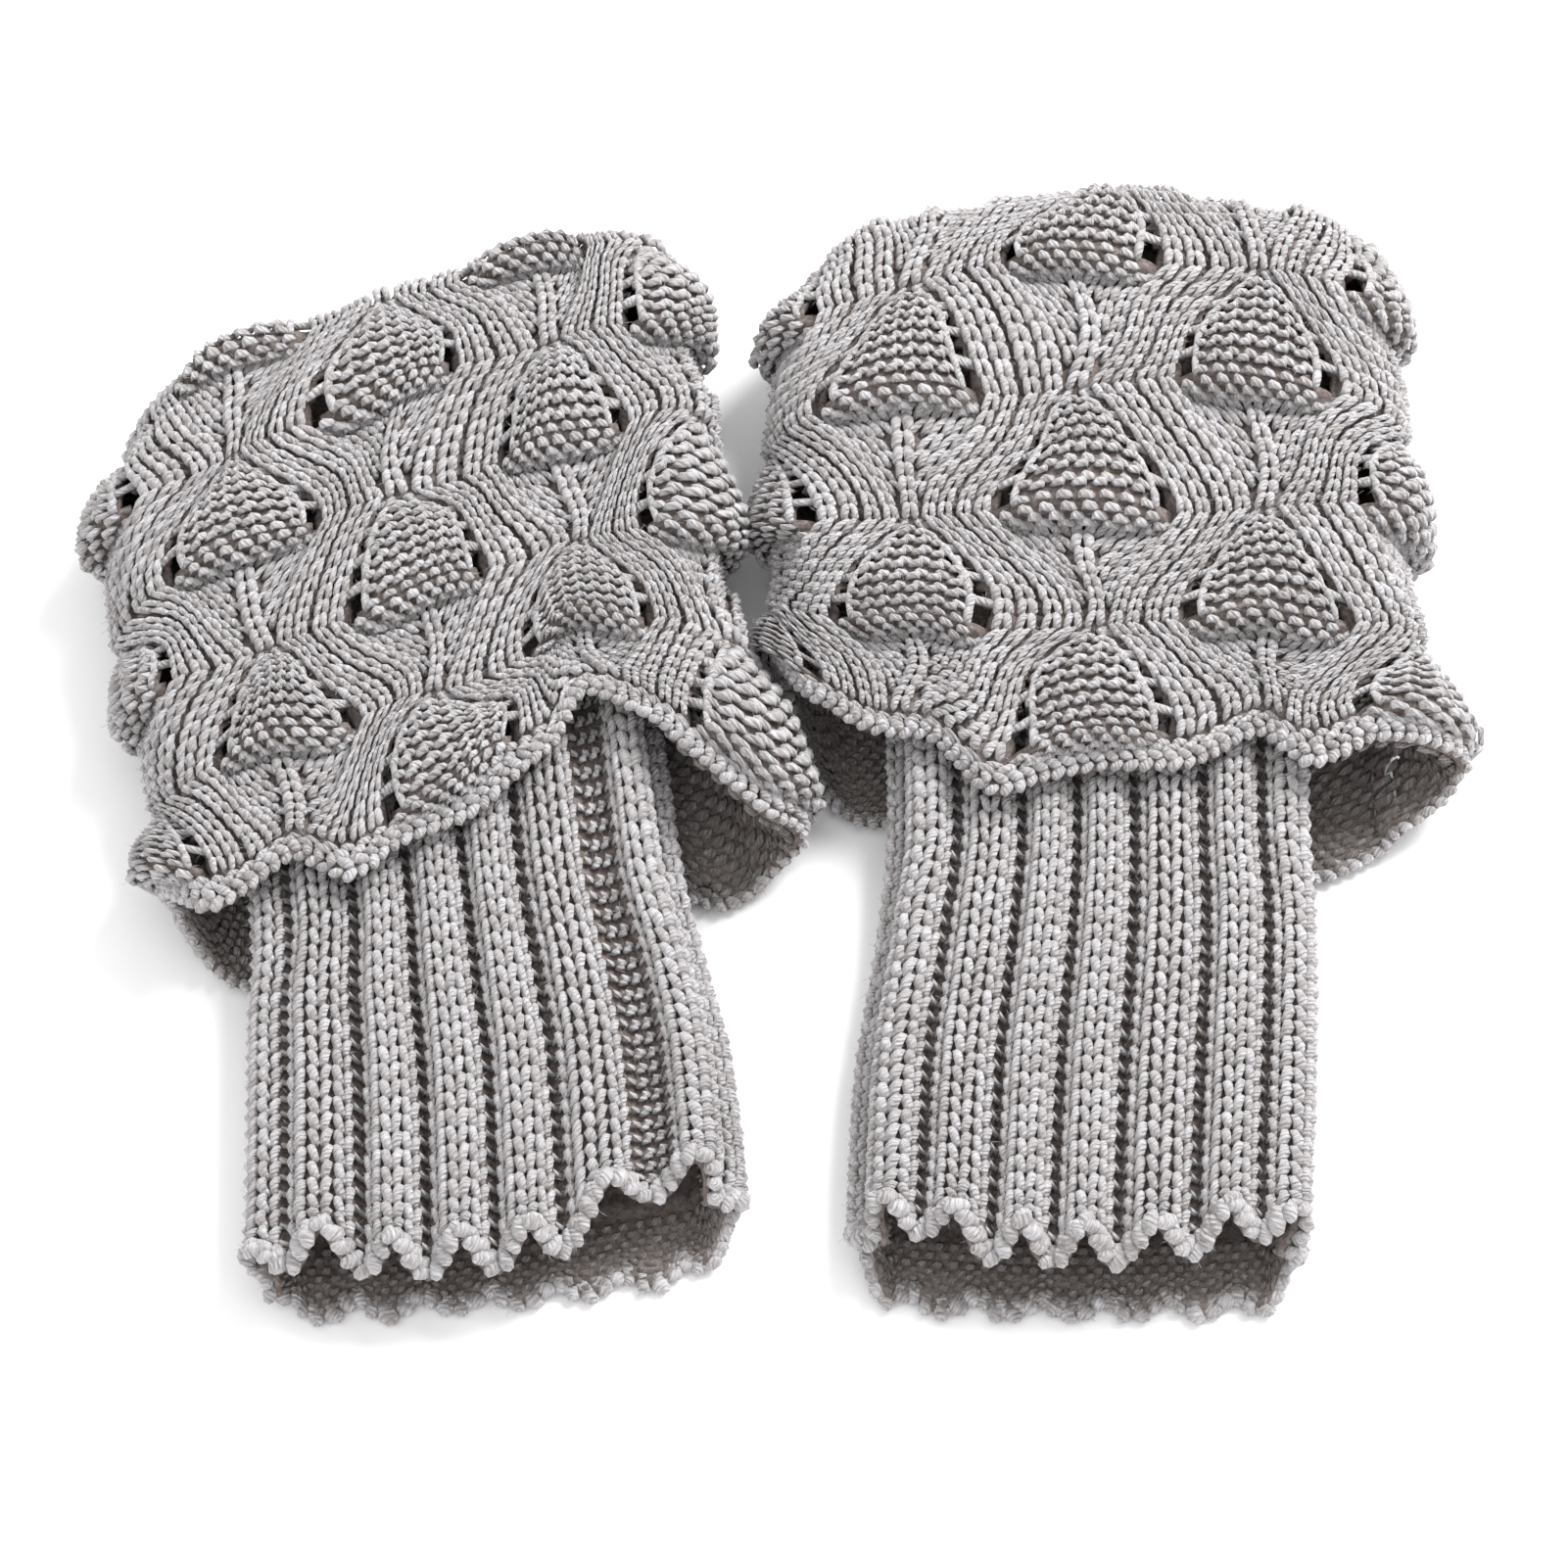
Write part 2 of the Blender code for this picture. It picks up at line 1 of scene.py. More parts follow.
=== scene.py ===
"""Looks of a pair of knitted leg warmers: every stitch of the ribbed legs and lace cuffs is yarn.

The knitting is laid on the same plain faces as the solids. A place on a tube is named by its
distance along it in millimetres and its place round it: in columns of the lace on a cuff, in
parts of the whole way round on a leg. 0 is the left edge, then come the top and the right edge.
"""
import math
from collections import namedtuple
from functools import partial

import bmesh
import bpy
import numpy as np
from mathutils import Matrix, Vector


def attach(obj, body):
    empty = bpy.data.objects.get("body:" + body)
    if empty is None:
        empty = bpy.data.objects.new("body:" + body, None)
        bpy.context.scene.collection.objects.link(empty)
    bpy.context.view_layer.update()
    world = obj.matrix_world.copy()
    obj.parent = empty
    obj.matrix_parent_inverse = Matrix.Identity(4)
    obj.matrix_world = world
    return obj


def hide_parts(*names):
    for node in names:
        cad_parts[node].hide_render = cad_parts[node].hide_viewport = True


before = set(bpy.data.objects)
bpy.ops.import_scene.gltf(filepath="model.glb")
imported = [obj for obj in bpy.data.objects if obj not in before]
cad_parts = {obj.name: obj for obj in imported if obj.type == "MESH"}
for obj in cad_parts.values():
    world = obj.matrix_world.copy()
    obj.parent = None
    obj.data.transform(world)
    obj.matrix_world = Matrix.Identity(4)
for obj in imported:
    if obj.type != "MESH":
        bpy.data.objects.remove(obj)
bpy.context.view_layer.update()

MM = 0.001
# Driving dimensions, in millimetres
WALL = 2.4              # thickness of the plain knitted cloth
SEAM_GAP = 0.7          # between the cuff's turned-in end and the leg
COLUMNS = 8             # columns of the lace pattern round the cuff
HEM_BORDER = 5.0        # garter border below the lowest motif
FOLD_DEPTH = 8.0        # how far the turn of the fold reaches past the last section
TURN_IN = 9.0           # length of cuff turned inside, down to the leg
HEM_REACH = 34.0        # how far up the cuff a small wave of the hem dies out
HEM_REACH_GAIN = 1.6    # and how much further for each millimetre of the wave
FLARE_REACH = 30.0      # how far up the cuff the flare of the hem dies out

# Raised forms of the knitting, above the plain wall
DOME_RISE = 4.8         # purl dome of each motif at its base
RIB_RISE = 2.0          # pair of knit columns that waves between the motifs
SPINE_RISE = 1.5        # centre column that runs down to the next dome
BORDER_RISE = 1.3       # garter ridges at the hem
LEG_RIB_RISE = 1.9      # rib of the leg
MOUTH_CURL = 1.2        # outward curl of each rib's end at the mouth, and of the valleys inwards
RIB_FOOT = -0.9         # how low a rib's foot lies, in shares of its rise
MOUTH_SCALLOP = 4.5     # how far the edge is drawn back at each rib's middle
UNDER_FADE = 0.45       # relief dies out where the surface turns this far downwards
CUFF_FADE = (26.0, 15.0)    # and over this stretch before the cuff's turned-in end
LEG_FADE = (16.0, 4.0)      # and over this stretch before the leg's top end

# How wide the motif is at its base and at its tip, and the waving ribs between, in column widths
MOTIF_WIDE = 0.45
MOTIF_NARROW = 0.05
COLUMN_WIDTH = 31.0     # about 31 mm round the cuff; the leg is about 166 mm round
LEG_ROUND = 166.0

# One section of the cuff: distance from the hem line, half width, top and bottom height, shift
CuffRow = namedtuple("CuffRow", "along half_width top bottom shift")
# Turn of the fold: how far it reaches in from the sides, the top and the underside, how much
# further its middle lies than its corners, and its right corner than its middle
Fold = namedtuple("Fold", "side top under arch slant")
# Hem all round: place round the tube (in columns), reach up the cuff, flare outwards
HemRow = namedtuple("HemRow", "column reach flare")
# One section of the leg: centre, turn of the row in degrees, half width, top and bottom height
LegRow = namedtuple("LegRow", "x y turn half_width top bottom")
# Mouth of the leg: place round the tube, how far the edge is drawn back
MouthRow = namedtuple("MouthRow", "round back")
# Rib of the leg: its width and the width of the valley after it
Rib = namedtuple("Rib", "width valley")


def each(kind, *rows):
    """A table of rows of one kind."""
    return [kind(*row) for row in rows]


RIGHT = {
    "name": "right",
    "hem_centre": (53.0, -6.0),
    "column_lean": -3.2,
    "row_turn": 2.0,
    "repeat": 49.5,
    "drift": (0.0, -0.08, -0.06, -0.05, -0.1, 0.0, 0.0, 0.0),
    "cuff": each(CuffRow,
        (0.0, 55.5, 20.5, 0.0, 1.0), (25.0, 55.5, 21.5, 0.0, 0.5), (55.0, 55.8, 23.5, 0.0, -0.5),
        (85.0, 56.5, 26.0, 0.0, -2.5), (106.0, 55.5, 27.5, 0.0, -2.5),
        (118.0, 51.5, 26.5, 1.0, -1.5)),
    "fold": Fold(12.0, 10.0, 6.5, 10.0, 0.0),
    "hem": each(HemRow,
        (0.0, 34.0, 0.5), (0.45, 18.0, 1.0), (0.85, 10.0, 0.5), (1.1, 9.0, 0.5),
        (1.5, -4.0, 1.0), (1.8, 0.0, 0.0), (2.1, 1.0, 0.5), (2.5, 1.0, 0.5), (2.95, 8.0, 0.0),
        (3.25, 0.0, 1.5), (3.6, 5.0, 2.5), (4.0, 6.0, 9.0), (4.45, -4.0, 5.0),
        (4.75, -10.0, 0.0), (5.0, -4.0, 0.0), (5.4, 3.0, 0.0), (6.0, 6.0, 0.0), (6.8, 4.0, 0.0),
        (7.3, 5.0, 0.0), (7.7, 18.0, 0.0)),
    "leg": each(LegRow,
        (47.4, -101.0, 0.0, 36.2, 14.5, 0.0), (48.2, -90.0, 0.0, 36.0, 14.5, 0.0),
        (50.5, -60.0, 0.5, 36.6, 14.5, 0.0), (53.4, -32.0, 1.0, 35.6, 14.5, 0.0),
        (54.6, -14.0, 1.5, 34.8, 14.8, 3.1), (55.6, 20.0, 2.0, 35.5, 16.3, 3.1),
        (56.6, 60.0, 2.0, 38.0, 18.0, 3.1)),
    "mouth": each(MouthRow,
        (0.0, 8.0), (0.08, 8.0), (0.16, 3.0), (0.25, 2.0), (0.34, 3.0), (0.42, 7.0), (0.5, 6.0),
        (0.57, -2.0), (0.75, -3.5), (0.93, -1.5)),
    "first_rib": -26.5,
    "ribs": each(Rib,
        (12.1, 1.4), (10.2, 1.4), (10.6, 1.4), (13.0, 1.4), (10.9, 1.4), (11.0, 1.4),
        (11.0, 1.4), (11.0, 1.4), (11.0, 1.4), (10.2, 1.4), (11.0, 1.4), (11.0, 1.4),
        (11.0, 1.4), (11.0, 1.4), (11.0, 1.4)),
}

LEFT = {
    "name": "left",
    "hem_centre": (-52.5, -14.0),
    "column_lean": 10.0,
    "row_turn": 24.0,
    "repeat": 41.5,
    "drift": (0.0, -0.06, -0.08, -0.12, -0.28, -0.15, 0.0, 0.0),
    "cuff": each(CuffRow,
        (0.0, 54.5, 20.0, 0.0, 0.5), (25.0, 53.0, 21.0, 0.0, -0.4),
        (52.0, 54.6, 22.5, 0.0, -0.8), (78.0, 56.8, 25.0, 0.0, -0.8),
        (95.0, 56.8, 26.0, 0.0, 0.2), (106.0, 53.0, 25.5, 1.0, 1.5)),
    "fold": Fold(12.0, 9.5, 6.5, 6.0, 1.5),
    "hem": each(HemRow,
        (0.0, 12.0, 2.0), (0.5, -1.0, 1.0), (0.95, 4.0, 0.0), (1.3, -5.0, 1.0), (1.6, -1.0, 0.5),
        (2.0, 0.0, 0.0), (2.4, 5.0, 1.0), (2.62, 8.0, 1.0), (2.85, 15.0, 2.5), (3.2, 7.0, 3.0),
        (3.6, -9.0, 3.0), (4.0, -22.0, 2.0), (4.4, -22.0, 2.0), (4.8, -24.0, 0.0),
        (5.2, -10.0, 0.0), (6.0, 6.0, 0.0), (6.9, 0.0, 0.0), (7.35, -7.0, 0.0), (7.7, 0.0, 0.0)),
    "leg": each(LegRow,
        (-45.6, -100.0, 6.0, 38.5, 14.5, 0.0), (-46.4, -88.0, 6.0, 38.4, 14.5, 0.0),
        (-48.6, -61.0, 7.0, 37.8, 14.5, 0.0), (-50.8, -46.0, 9.0, 36.6, 14.4, 0.0),
        (-53.6, -26.0, 12.5, 34.8, 14.5, 3.2), (-58.5, 12.0, 21.0, 35.5, 16.0, 3.2),
        (-65.0, 50.0, 24.0, 38.5, 17.3, 3.2)),
    "mouth": each(MouthRow,
        (0.0, 4.0), (0.08, 4.0), (0.16, 0.0), (0.25, 0.0), (0.31, 2.0), (0.36, 9.0),
        (0.44, 12.0), (0.5, 9.0), (0.57, 0.0), (0.75, -2.5), (0.93, -1.0)),
    "first_rib": -34.0,
    "ribs": each(Rib,
        (12.8, 1.4), (10.6, 1.4), (10.9, 1.4), (10.8, 1.4), (18.0, 6.4), (10.5, 1.4),
        (10.8, 1.4), (10.8, 1.4), (10.8, 1.4), (10.8, 1.4), (10.8, 1.4), (10.8, 1.4),
        (10.8, 1.4), (10.8, 1.4), (10.8, 1.4)),
}

# Middle of the pair before it is moved to the origin
PAIR_MIDDLE = np.array([-2.74, 13.27, 0.0])

FOLD_STEPS = 8
NORMAL_STEP = 0.6       # distance between the points that a surface direction is taken from
LEG_STRAIGHT_END = 20.0     # the leg's last stretch has one section throughout
MOUTH_REACH = 9.0       # how far up the leg the curled ends of the ribs reach


def smooth_between(x, knots, values):
    """Curve through (knots, values) that never swings past them: cubic, level at each peak."""
    knots = np.asarray(knots, float)
    values = np.asarray(values, float)
    rates = np.diff(values) / np.diff(knots)
    before, after = rates[:-1], rates[1:]
    total = np.where(before * after > 0, before + after, 1.0)
    inner = np.where(before * after > 0, 2 * before * after / total, 0.0)
    slopes = np.concatenate([rates[:1], inner, rates[-1:]])
    x = np.clip(x, knots[0], knots[-1])
    i = np.clip(np.searchsorted(knots, x) - 1, 0, len(knots) - 2)
    span = knots[i + 1] - knots[i]
    t = (x - knots[i]) / span
    return ((2 * t ** 3 - 3 * t ** 2 + 1) * values[i] + (t ** 3 - 2 * t ** 2 + t) * span * slopes[i]
            + (3 * t ** 2 - 2 * t ** 3) * values[i + 1] + (t ** 3 - t ** 2) * span * slopes[i + 1])


def smooth_round(x, period, knots, values):
    """The same curve round a closed tube of the given period."""
    knots = np.asarray(knots, float)
    values = np.asarray(values, float)
    wrapped = np.concatenate([knots[-3:] - period, knots, knots[:3] + period])
    return smooth_between(np.mod(x, period), wrapped, np.concatenate([values[-3:], values, values[:3]]))


def ease(x, start, end):
    """0 up to start, 1 from end, and a soft slope between."""
    t = np.clip((x - start) / (end - start), 0.0, 1.0)
    return t * t * (3 - 2 * t)


def flat_tube(part_round, half_width, top, bottom):
    """Point of a flattened tube's section: straight on top and underneath, round at both edges."""
    radius = (top - bottom) / 2
    straight = half_width - radius
    whole = 4 * straight + 2 * math.pi * radius
    arc = (np.mod(part_round + 0.25, 1.0) - 0.5) * whole
    side = np.where(arc < 0, -1.0, 1.0)
    bend = np.clip((np.abs(arc) - straight) / radius, 0.0, math.pi)
    past = np.clip(np.abs(arc) - straight - math.pi * radius, 0.0, None)
    x = side * (np.minimum(np.abs(arc), straight) + radius * np.sin(bend) - past)
    z = top - radius + radius * np.cos(bend)
    return x, z


def cuff_profile(warmer):
    """Sections of the cuff from the hem over the fold to its turned-in end, with their lengths."""
    rows = [list(row) for row in warmer["cuff"]]
    fold = warmer["fold"]
    last = warmer["cuff"][-1]
    for step in range(1, FOLD_STEPS + 1):
        angle = math.pi * step / FOLD_STEPS
        inset = (1 - math.cos(angle)) / 2
        rows.append([last.along + FOLD_DEPTH * math.sin(angle), last.half_width - fold.side * inset,
                     last.top - fold.top * inset, last.bottom + fold.under * inset, last.shift])
    end = list(rows[-1])
    end[0] -= TURN_IN
    rows.append(end)
    rows = np.array(rows)
    steps = np.hypot(np.diff(rows[:, 0]), np.diff(rows[:, 2]))
    return np.concatenate([[0.0], np.cumsum(steps)]), rows


def cuff_length(warmer):
    return cuff_profile(warmer)[0][-1]


def directions(warmer):
    """Direction along the cuff's columns and direction along its rows, on the surface."""
    lean = math.radians(warmer["column_lean"])
    turn = math.radians(warmer["row_turn"])
    return np.array([-math.sin(lean), math.cos(lean)]), np.array([math.cos(turn), math.sin(turn)])


def fold_arch(warmer, x, along):
    """How much further out the fold lies in its middle and to its right."""
    last = warmer["cuff"][-1]
    out = np.clip(x / last.half_width, -1, 1)
    further = warmer["fold"].arch * (1 - out ** 2) + warmer["fold"].slant * out
    return further * ease(along, last.along * 0.35, last.along)


def cuff_base(warmer, length, column):
    """Plain outer face of the cuff at a length from the hem and a place round it."""
    lengths, rows = cuff_profile(warmer)
    hem = warmer["hem"]
    knots = [row.column for row in hem]
    reach = smooth_round(column, COLUMNS, knots, [row.reach for row in hem])
    up = np.clip(1 - length / (HEM_REACH + HEM_REACH_GAIN * np.abs(reach)), 0.0, 1.0)
    reach = reach * up ** 1.7
    flare = smooth_round(column, COLUMNS, knots, [row.flare for row in hem])
    flare = flare * np.clip(1 - length / FLARE_REACH, 0.0, 1.0) ** 1.5
    at = length + reach
    along, half_width, top, bottom, shift = [smooth_between(at, lengths, rows[:, i]) for i in range(5)]
    # The hem may reach past the first section, which then simply goes on
    along = along + np.minimum(at, 0.0)
    drift = smooth_round(column, COLUMNS, range(COLUMNS), warmer["drift"])
    x, z = flat_tube((column + drift) / COLUMNS, half_width, top, bottom)
    along = along + fold_arch(warmer, x, along)
    edge = np.clip(np.abs(x) / half_width, 0, 1) ** 6
    x = x + np.sign(x) * flare * edge
    z = z + flare * (1 - edge) * (z > bottom + 1.0)
    columns_way, rows_way = directions(warmer)
    place = (np.asarray(warmer["hem_centre"]) + along[..., None] * columns_way
             + (x + shift)[..., None] * rows_way)
    return np.concatenate([place, z[..., None]], axis=-1)


def facing(base, warmer, length, round_place, round_step):
    """Unit direction out of a tube's surface."""
    across = (base(warmer, length, round_place + round_step)
              - base(warmer, length, round_place - round_step))
    ahead, behind = length + NORMAL_STEP, length - NORMAL_STEP
    forward = base(warmer, ahead, round_place) - base(warmer, behind, round_place)
    return unit(np.cross(across, forward))


def phase(warmer, length, column):
    """Place in the lace repeat: 0 at a dome's base, 1/2 at its tip, back to 1 under the next base."""
    first = HEM_BORDER + (warmer["repeat"] / 2) * (column % 2)
    return ((length - first) / warmer["repeat"]) % 1.0


def leg_rows(warmer):
    """Sections of the leg, the last of them at the cuff's turned-in end."""
    along, half_width, top, bottom, shift = cuff_profile(warmer)[1][-1]
    columns_way, rows_way = directions(warmer)
    centre = np.asarray(warmer["hem_centre"]) + (along - SEAM_GAP) * columns_way + shift * rows_way
    sections = [list(row) for row in warmer["leg"]]
    for back in (LEG_STRAIGHT_END, 0.0):
        x, y = centre - columns_way * back
        sections.append([x, y, warmer["row_turn"], half_width + WALL, top + WALL, bottom - WALL])
    sections = np.array(sections)
    steps = np.hypot(np.diff(sections[:, 0]), np.diff(sections[:, 1]))
    return np.concatenate([[0.0], np.cumsum(steps)]), sections


def leg_length(warmer):
    return leg_rows(warmer)[0][-1]


def leg_base(warmer, length, part_round):
    """Plain outer face of the leg, at the level of the valleys between its ribs."""
    lengths, sections = leg_rows(warmer)
    mouth = warmer["mouth"]
    back = smooth_round(part_round, 1.0, [row.round for row in mouth], [row.back for row in mouth])
    at = length + back * np.clip(1 - length / 60.0, 0.0, 1.0) ** 1.3
    x0, y0, turn, half_width, top, bottom = [
        smooth_between(at, lengths, sections[:, i]) for i in range(6)]
    before = np.minimum(at, 0.0)
    x, z = flat_tube(part_round, half_width, top, bottom)
    turn = np.radians(turn)
    past = np.maximum(at - lengths[-1], 0.0) + before
    # The arch of the fold carries on into the leg's top end
    lean = math.radians(warmer["column_lean"])
    end = warmer["cuff"][-1].along - TURN_IN
    further = past + fold_arch(warmer, x, end - (lengths[-1] - at))
    place_x = x0 + x * np.cos(turn) - further * math.sin(lean)
    place_y = y0 + x * np.sin(turn) + further * math.cos(lean)
    return np.stack([place_x, place_y, z], axis=-1)




# The studio: a table in metres, and a camera that looks from the front and above
FLOOR_SIZE = 4.0
WORLD_LIGHT = 1.06
CAMERA_LENS = 105.8
CAMERA_SENSOR = 36.0
CAMERA_TARGET = (2.74, -13.27, 10.0)
CAMERA_DISTANCE = 800.0
CAMERA_HEIGHT = math.radians(52)

# Gauge of the knitting
STITCHES = 10           # stitches in one column of the lace
LACE_ROWS = 8           # rows in half a repeat of the lace
LEG_ROW = 3.45          # height of a row in the ribs of the leg
YARN = 0.78             # half thickness of the yarn in the lace
BAND_YARN = YARN * 0.93
GROOVE_YARN = YARN * 0.9
DOME_YARN = YARN * 0.92
LEG_YARN = 0.86         # and in the leg
VALLEY_YARN = LEG_YARN * 0.8
CLOTH_TOP = -0.95       # the thin cloth under the stitches, below the plain face
CLOTH_WALL = 1.3
SHELL_ROWS = 12         # rows of faces of that cloth in half a repeat
SHELL_ROUND = 160       # and round a cuff
LEG_SHELL_ROW = 3.6     # length of one row of its faces on a leg
LEG_SHELL_ROUND = 120
LEDGE = 0.05            # half the length over which the cloth steps down at a dome's base
FLOOR_GAP = 0.03        # the yarn stays this far above the surface on which the pair lies
RUN_END = 0.62          # thickness of a run of yarn just before its ends, in shares of its middle
RUN_SIZE = 0.05         # how much runs differ in thickness
RUN_SHIFT = 0.07        # and how far they stray from their places
BEAD_TILT = 0.15        # how much the beads of an edge differ in lean
BEAD_SIZE = 0.08        # and in size

STITCH = 1.0 / STITCHES             # width of a stitch in columns
STITCH_MM = COLUMN_WIDTH / STITCHES
random = np.random.default_rng(20)

# One soft wave of the knitting's unevenness: its size, how often it goes round, its pitch along
Wave = namedtuple("Wave", "size round_waves pitch start")
WANDER_SIZES = (0.7, 0.9, 0.35)     # how far it shifts along, across and outwards
WANDER = {}
for name in ("left", "right"):
    WANDER[name] = [[Wave(size * share, random.integers(2, 9),
                          random.choice((-1, 1)) * random.uniform(24, 60), random.random())
                     for share in (1.0, 0.8, 0.6)] for size in WANDER_SIZES]


def unit(vectors):
    return vectors / np.linalg.norm(vectors, axis=-1, keepdims=True)


def at_origin(points):
    """Millimetres of the pair as it was laid out, to metres round the origin."""
    return (points - PAIR_MIDDLE) * MM


def half_motif(warmer, length, column):
    """Half the width of the motif of the nearest column, in columns, and the place in its repeat."""
    place = phase(warmer, length, np.round(column) % COLUMNS)
    dome = 1 - np.clip(2 * place, 0, 1) ** 2
    fan = np.clip(2 * place - 1, 0, 1) ** 1.5
    turn = np.where(place < 0.5, dome, fan)
    return MOTIF_NARROW + (MOTIF_WIDE - MOTIF_NARROW) * turn, place


def band_width(warmer, length, column):
    """Width of the waving band between a column's motif and the next one's."""
    return 1 - half_motif(warmer, length, column)[0] - half_motif(warmer, length, column + 1)[0]


def dome_rise(place, across):
    """Relief of the purl dome: steep at its base, sinking to its tip; across is 0 to 1 at its edge."""
    place = np.clip(place, 0.0, 0.5)
    swell = np.sin(math.pi * np.minimum(1.0, (0.5 - place) * 2.6) / 2)
    centre = 0.9 + DOME_RISE * swell
    edge = 0.3 + 0.5 * swell
    return edge + (centre - edge) * (1 - np.clip(np.abs(across), 0, 1) ** 2.3)


def fan_rise(place, stitches_off):
    """Relief of the knit fan under a dome: a hollow with a raised spine down its middle."""
    run = np.clip(1 - (place - 0.5) * 2, 0.0, 1.0)
    spine = (0.5 + SPINE_RISE * run) * np.exp(-(stitches_off / 0.8) ** 2)
    return -0.5 + 0.8 * run + spine


def band_rise(part):
    """Relief of the waving band: knit two, a deep purl groove, knit two."""
    part = np.minimum(part, 1 - part)
    rib = RIB_RISE * np.sin(math.pi * np.clip(part / 0.47, 0, 1)) ** 0.6
    groove = np.sin(math.pi / 2 * np.clip((part - 0.44) / 0.06, 0, 1))
    return 0.1 + rib - 1.1 * groove


def lace_rise(warmer, length, column):
    """Relief of the cuff anywhere."""
    off = (column - np.round(column))
    half, place = half_motif(warmer, length, column)
    across = off / half
    dome = dome_rise(place, across)
    fan = fan_rise(place, off / STITCH)
    band = band_rise((np.abs(off) - half) / band_width(warmer, length, column))
    rise = np.where(np.abs(across) < 1, np.where(place < 0.5, dome, fan), band)
    border = np.clip((HEM_BORDER - length) / 0.6, 0, 1)
    return rise * (1 - border) + (BORDER_RISE + 0.25 * (rise - BORDER_RISE)) * border


def wander(warmer, length, part_round):
    """Hand-knitting is never even: soft shifts along, across and outwards, in millimetres."""
    shifts = []
    for waves in WANDER[warmer["name"]]:
        total = 0.0
        for wave in waves:
            turn = 2 * math.pi * (wave.round_waves * part_round + length / wave.pitch + wave.start)
            total = total + wave.size * np.sin(turn)
        shifts.append(total)
    return shifts


def cuff_place(warmer, length, column, rise, height):
    """Point over the cuff: relief fades underneath and in the turned-in end, thickness doesn't."""
    whole = cuff_length(warmer)
    along, across, out_by = wander(warmer, length, column / COLUMNS)
    held = ease(length, 0.0, 6.0) * (1 - ease(length, whole - 20.0, whole - 10.0))
    length = length + along * held
    column = column + across * held / COLUMN_WIDTH
    out = facing(cuff_base, warmer, length, column, NORMAL_STEP / COLUMN_WIDTH)
    inside = ease(length, whole - CUFF_FADE[0], whole - CUFF_FADE[1])
    shown = np.clip(1 + out[..., 2] / UNDER_FADE, 0.0, 1.0) * (1 - inside)
    raised = (rise + out_by * held) * shown + height
    return cuff_base(warmer, length, column) + out * raised[..., None]


def rib_places(warmer):
    """Each rib of the leg: where it starts and ends, and where its valley ends, round the leg."""
    whole = sum(rib.width for rib in warmer["ribs"])
    at = warmer["first_rib"]
    places = []
    for rib in warmer["ribs"]:
        places.append((0.25 + at / whole, 0.25 + (at + rib.width - rib.valley) / whole,
                       0.25 + (at + rib.width) / whole))
        at += rib.width
    return np.array(places), whole


def rib_shape(warmer, part_round):
    """1 on top of a rib, 0 at its foot, below that in a valley."""
    places, whole = rib_places(warmer)
    start = places[0, 0]
    where = np.mod(part_round - start, 1.0) + start
    i = np.clip(np.searchsorted(places[:, 0], where, side="right") - 1, 0, len(places) - 1)
    body = (where - places[i, 0]) / (places[i, 1] - places[i, 0])
    valley = (where - places[i, 1]) / (places[i, 2] - places[i, 1])
    shape = 1 - (1 - RIB_FOOT) * np.abs(2 * np.clip(body, 0, 1) - 1) ** 2.6
    return np.where(body <= 1, shape, RIB_FOOT - 0.5 * np.sin(math.pi * np.clip(valley, 0, 1)) ** 0.5)


def mouth_crest(warmer, part_round):
    """1 at the middle of each rib, 0 in the middle of the valleys, in one soft wave."""
    places = rib_places(warmer)[0]
    valleys = (places[:, 1] + places[:, 2]) / 2
    knots = np.concatenate([[valleys[-1] - 1], valleys])
    where = np.mod(part_round - knots[0], 1.0) + knots[0]
    i = np.clip(np.searchsorted(knots, where, side="right") - 1, 0, len(valleys) - 1)
    return np.sin(math.pi * (where - knots[i]) / (knots[i + 1] - knots[i])) ** 2


def leg_place(warmer, length, part_round, shape, height):
    """Point over the leg: at the mouth each rib curls up and back, each valley reaches out and down."""
    near = np.clip(1 - length / MOUTH_REACH, 0.0, 1.0)
    crest = mouth_crest(warmer, part_round)
    lower = np.sqrt(np.clip(-np.sin(2 * math.pi * part_round), 0, 1))
    at = length + near * (MOUTH_SCALLOP * crest ** 1.4 * (1 - 0.4 * lower) + MOUTH_DRAWN * lower)
    shape = shape + (1.5 * crest - 0.6 - shape) * near ** 2 * (3 - 2 * near)
    out = facing(leg_base, warmer, at, part_round, NORMAL_STEP / LEG_ROUND)
    shown = np.clip(1 + out[..., 2] / UNDER_FADE, 0.0, 1.0)
    whole = leg_length(warmer)
    rise = LEG_RIB_RISE * shape * shown * (1 - ease(length, whole - LEG_FADE[0], whole - LEG_FADE[1]))
    curl = MOUTH_CURL * near ** 2 * (2 * crest - 1) * shown
    return leg_base(warmer, at, part_round) + out * (rise + curl + height)[..., None]


def add_object(name, data, material):
    data.materials.append(material)
    piece = bpy.data.objects.new(name, data)
    bpy.context.scene.collection.objects.link(piece)
    return piece


def yarn_piece(name, data, material):
    """A piece of the knitting, which rides the part's only body."""
    data.shade_smooth()
    piece = add_object(name, data, material)
    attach(piece, "root")
    return piece


# A run of yarn: where it starts and ends from the stitch's own place, across and along in
# millimetres, how far its middle bows sideways, the height of its ends and of its middle
Run = namedtuple("Run", "start_across start_along end_across end_along bow end_height mid_height size")


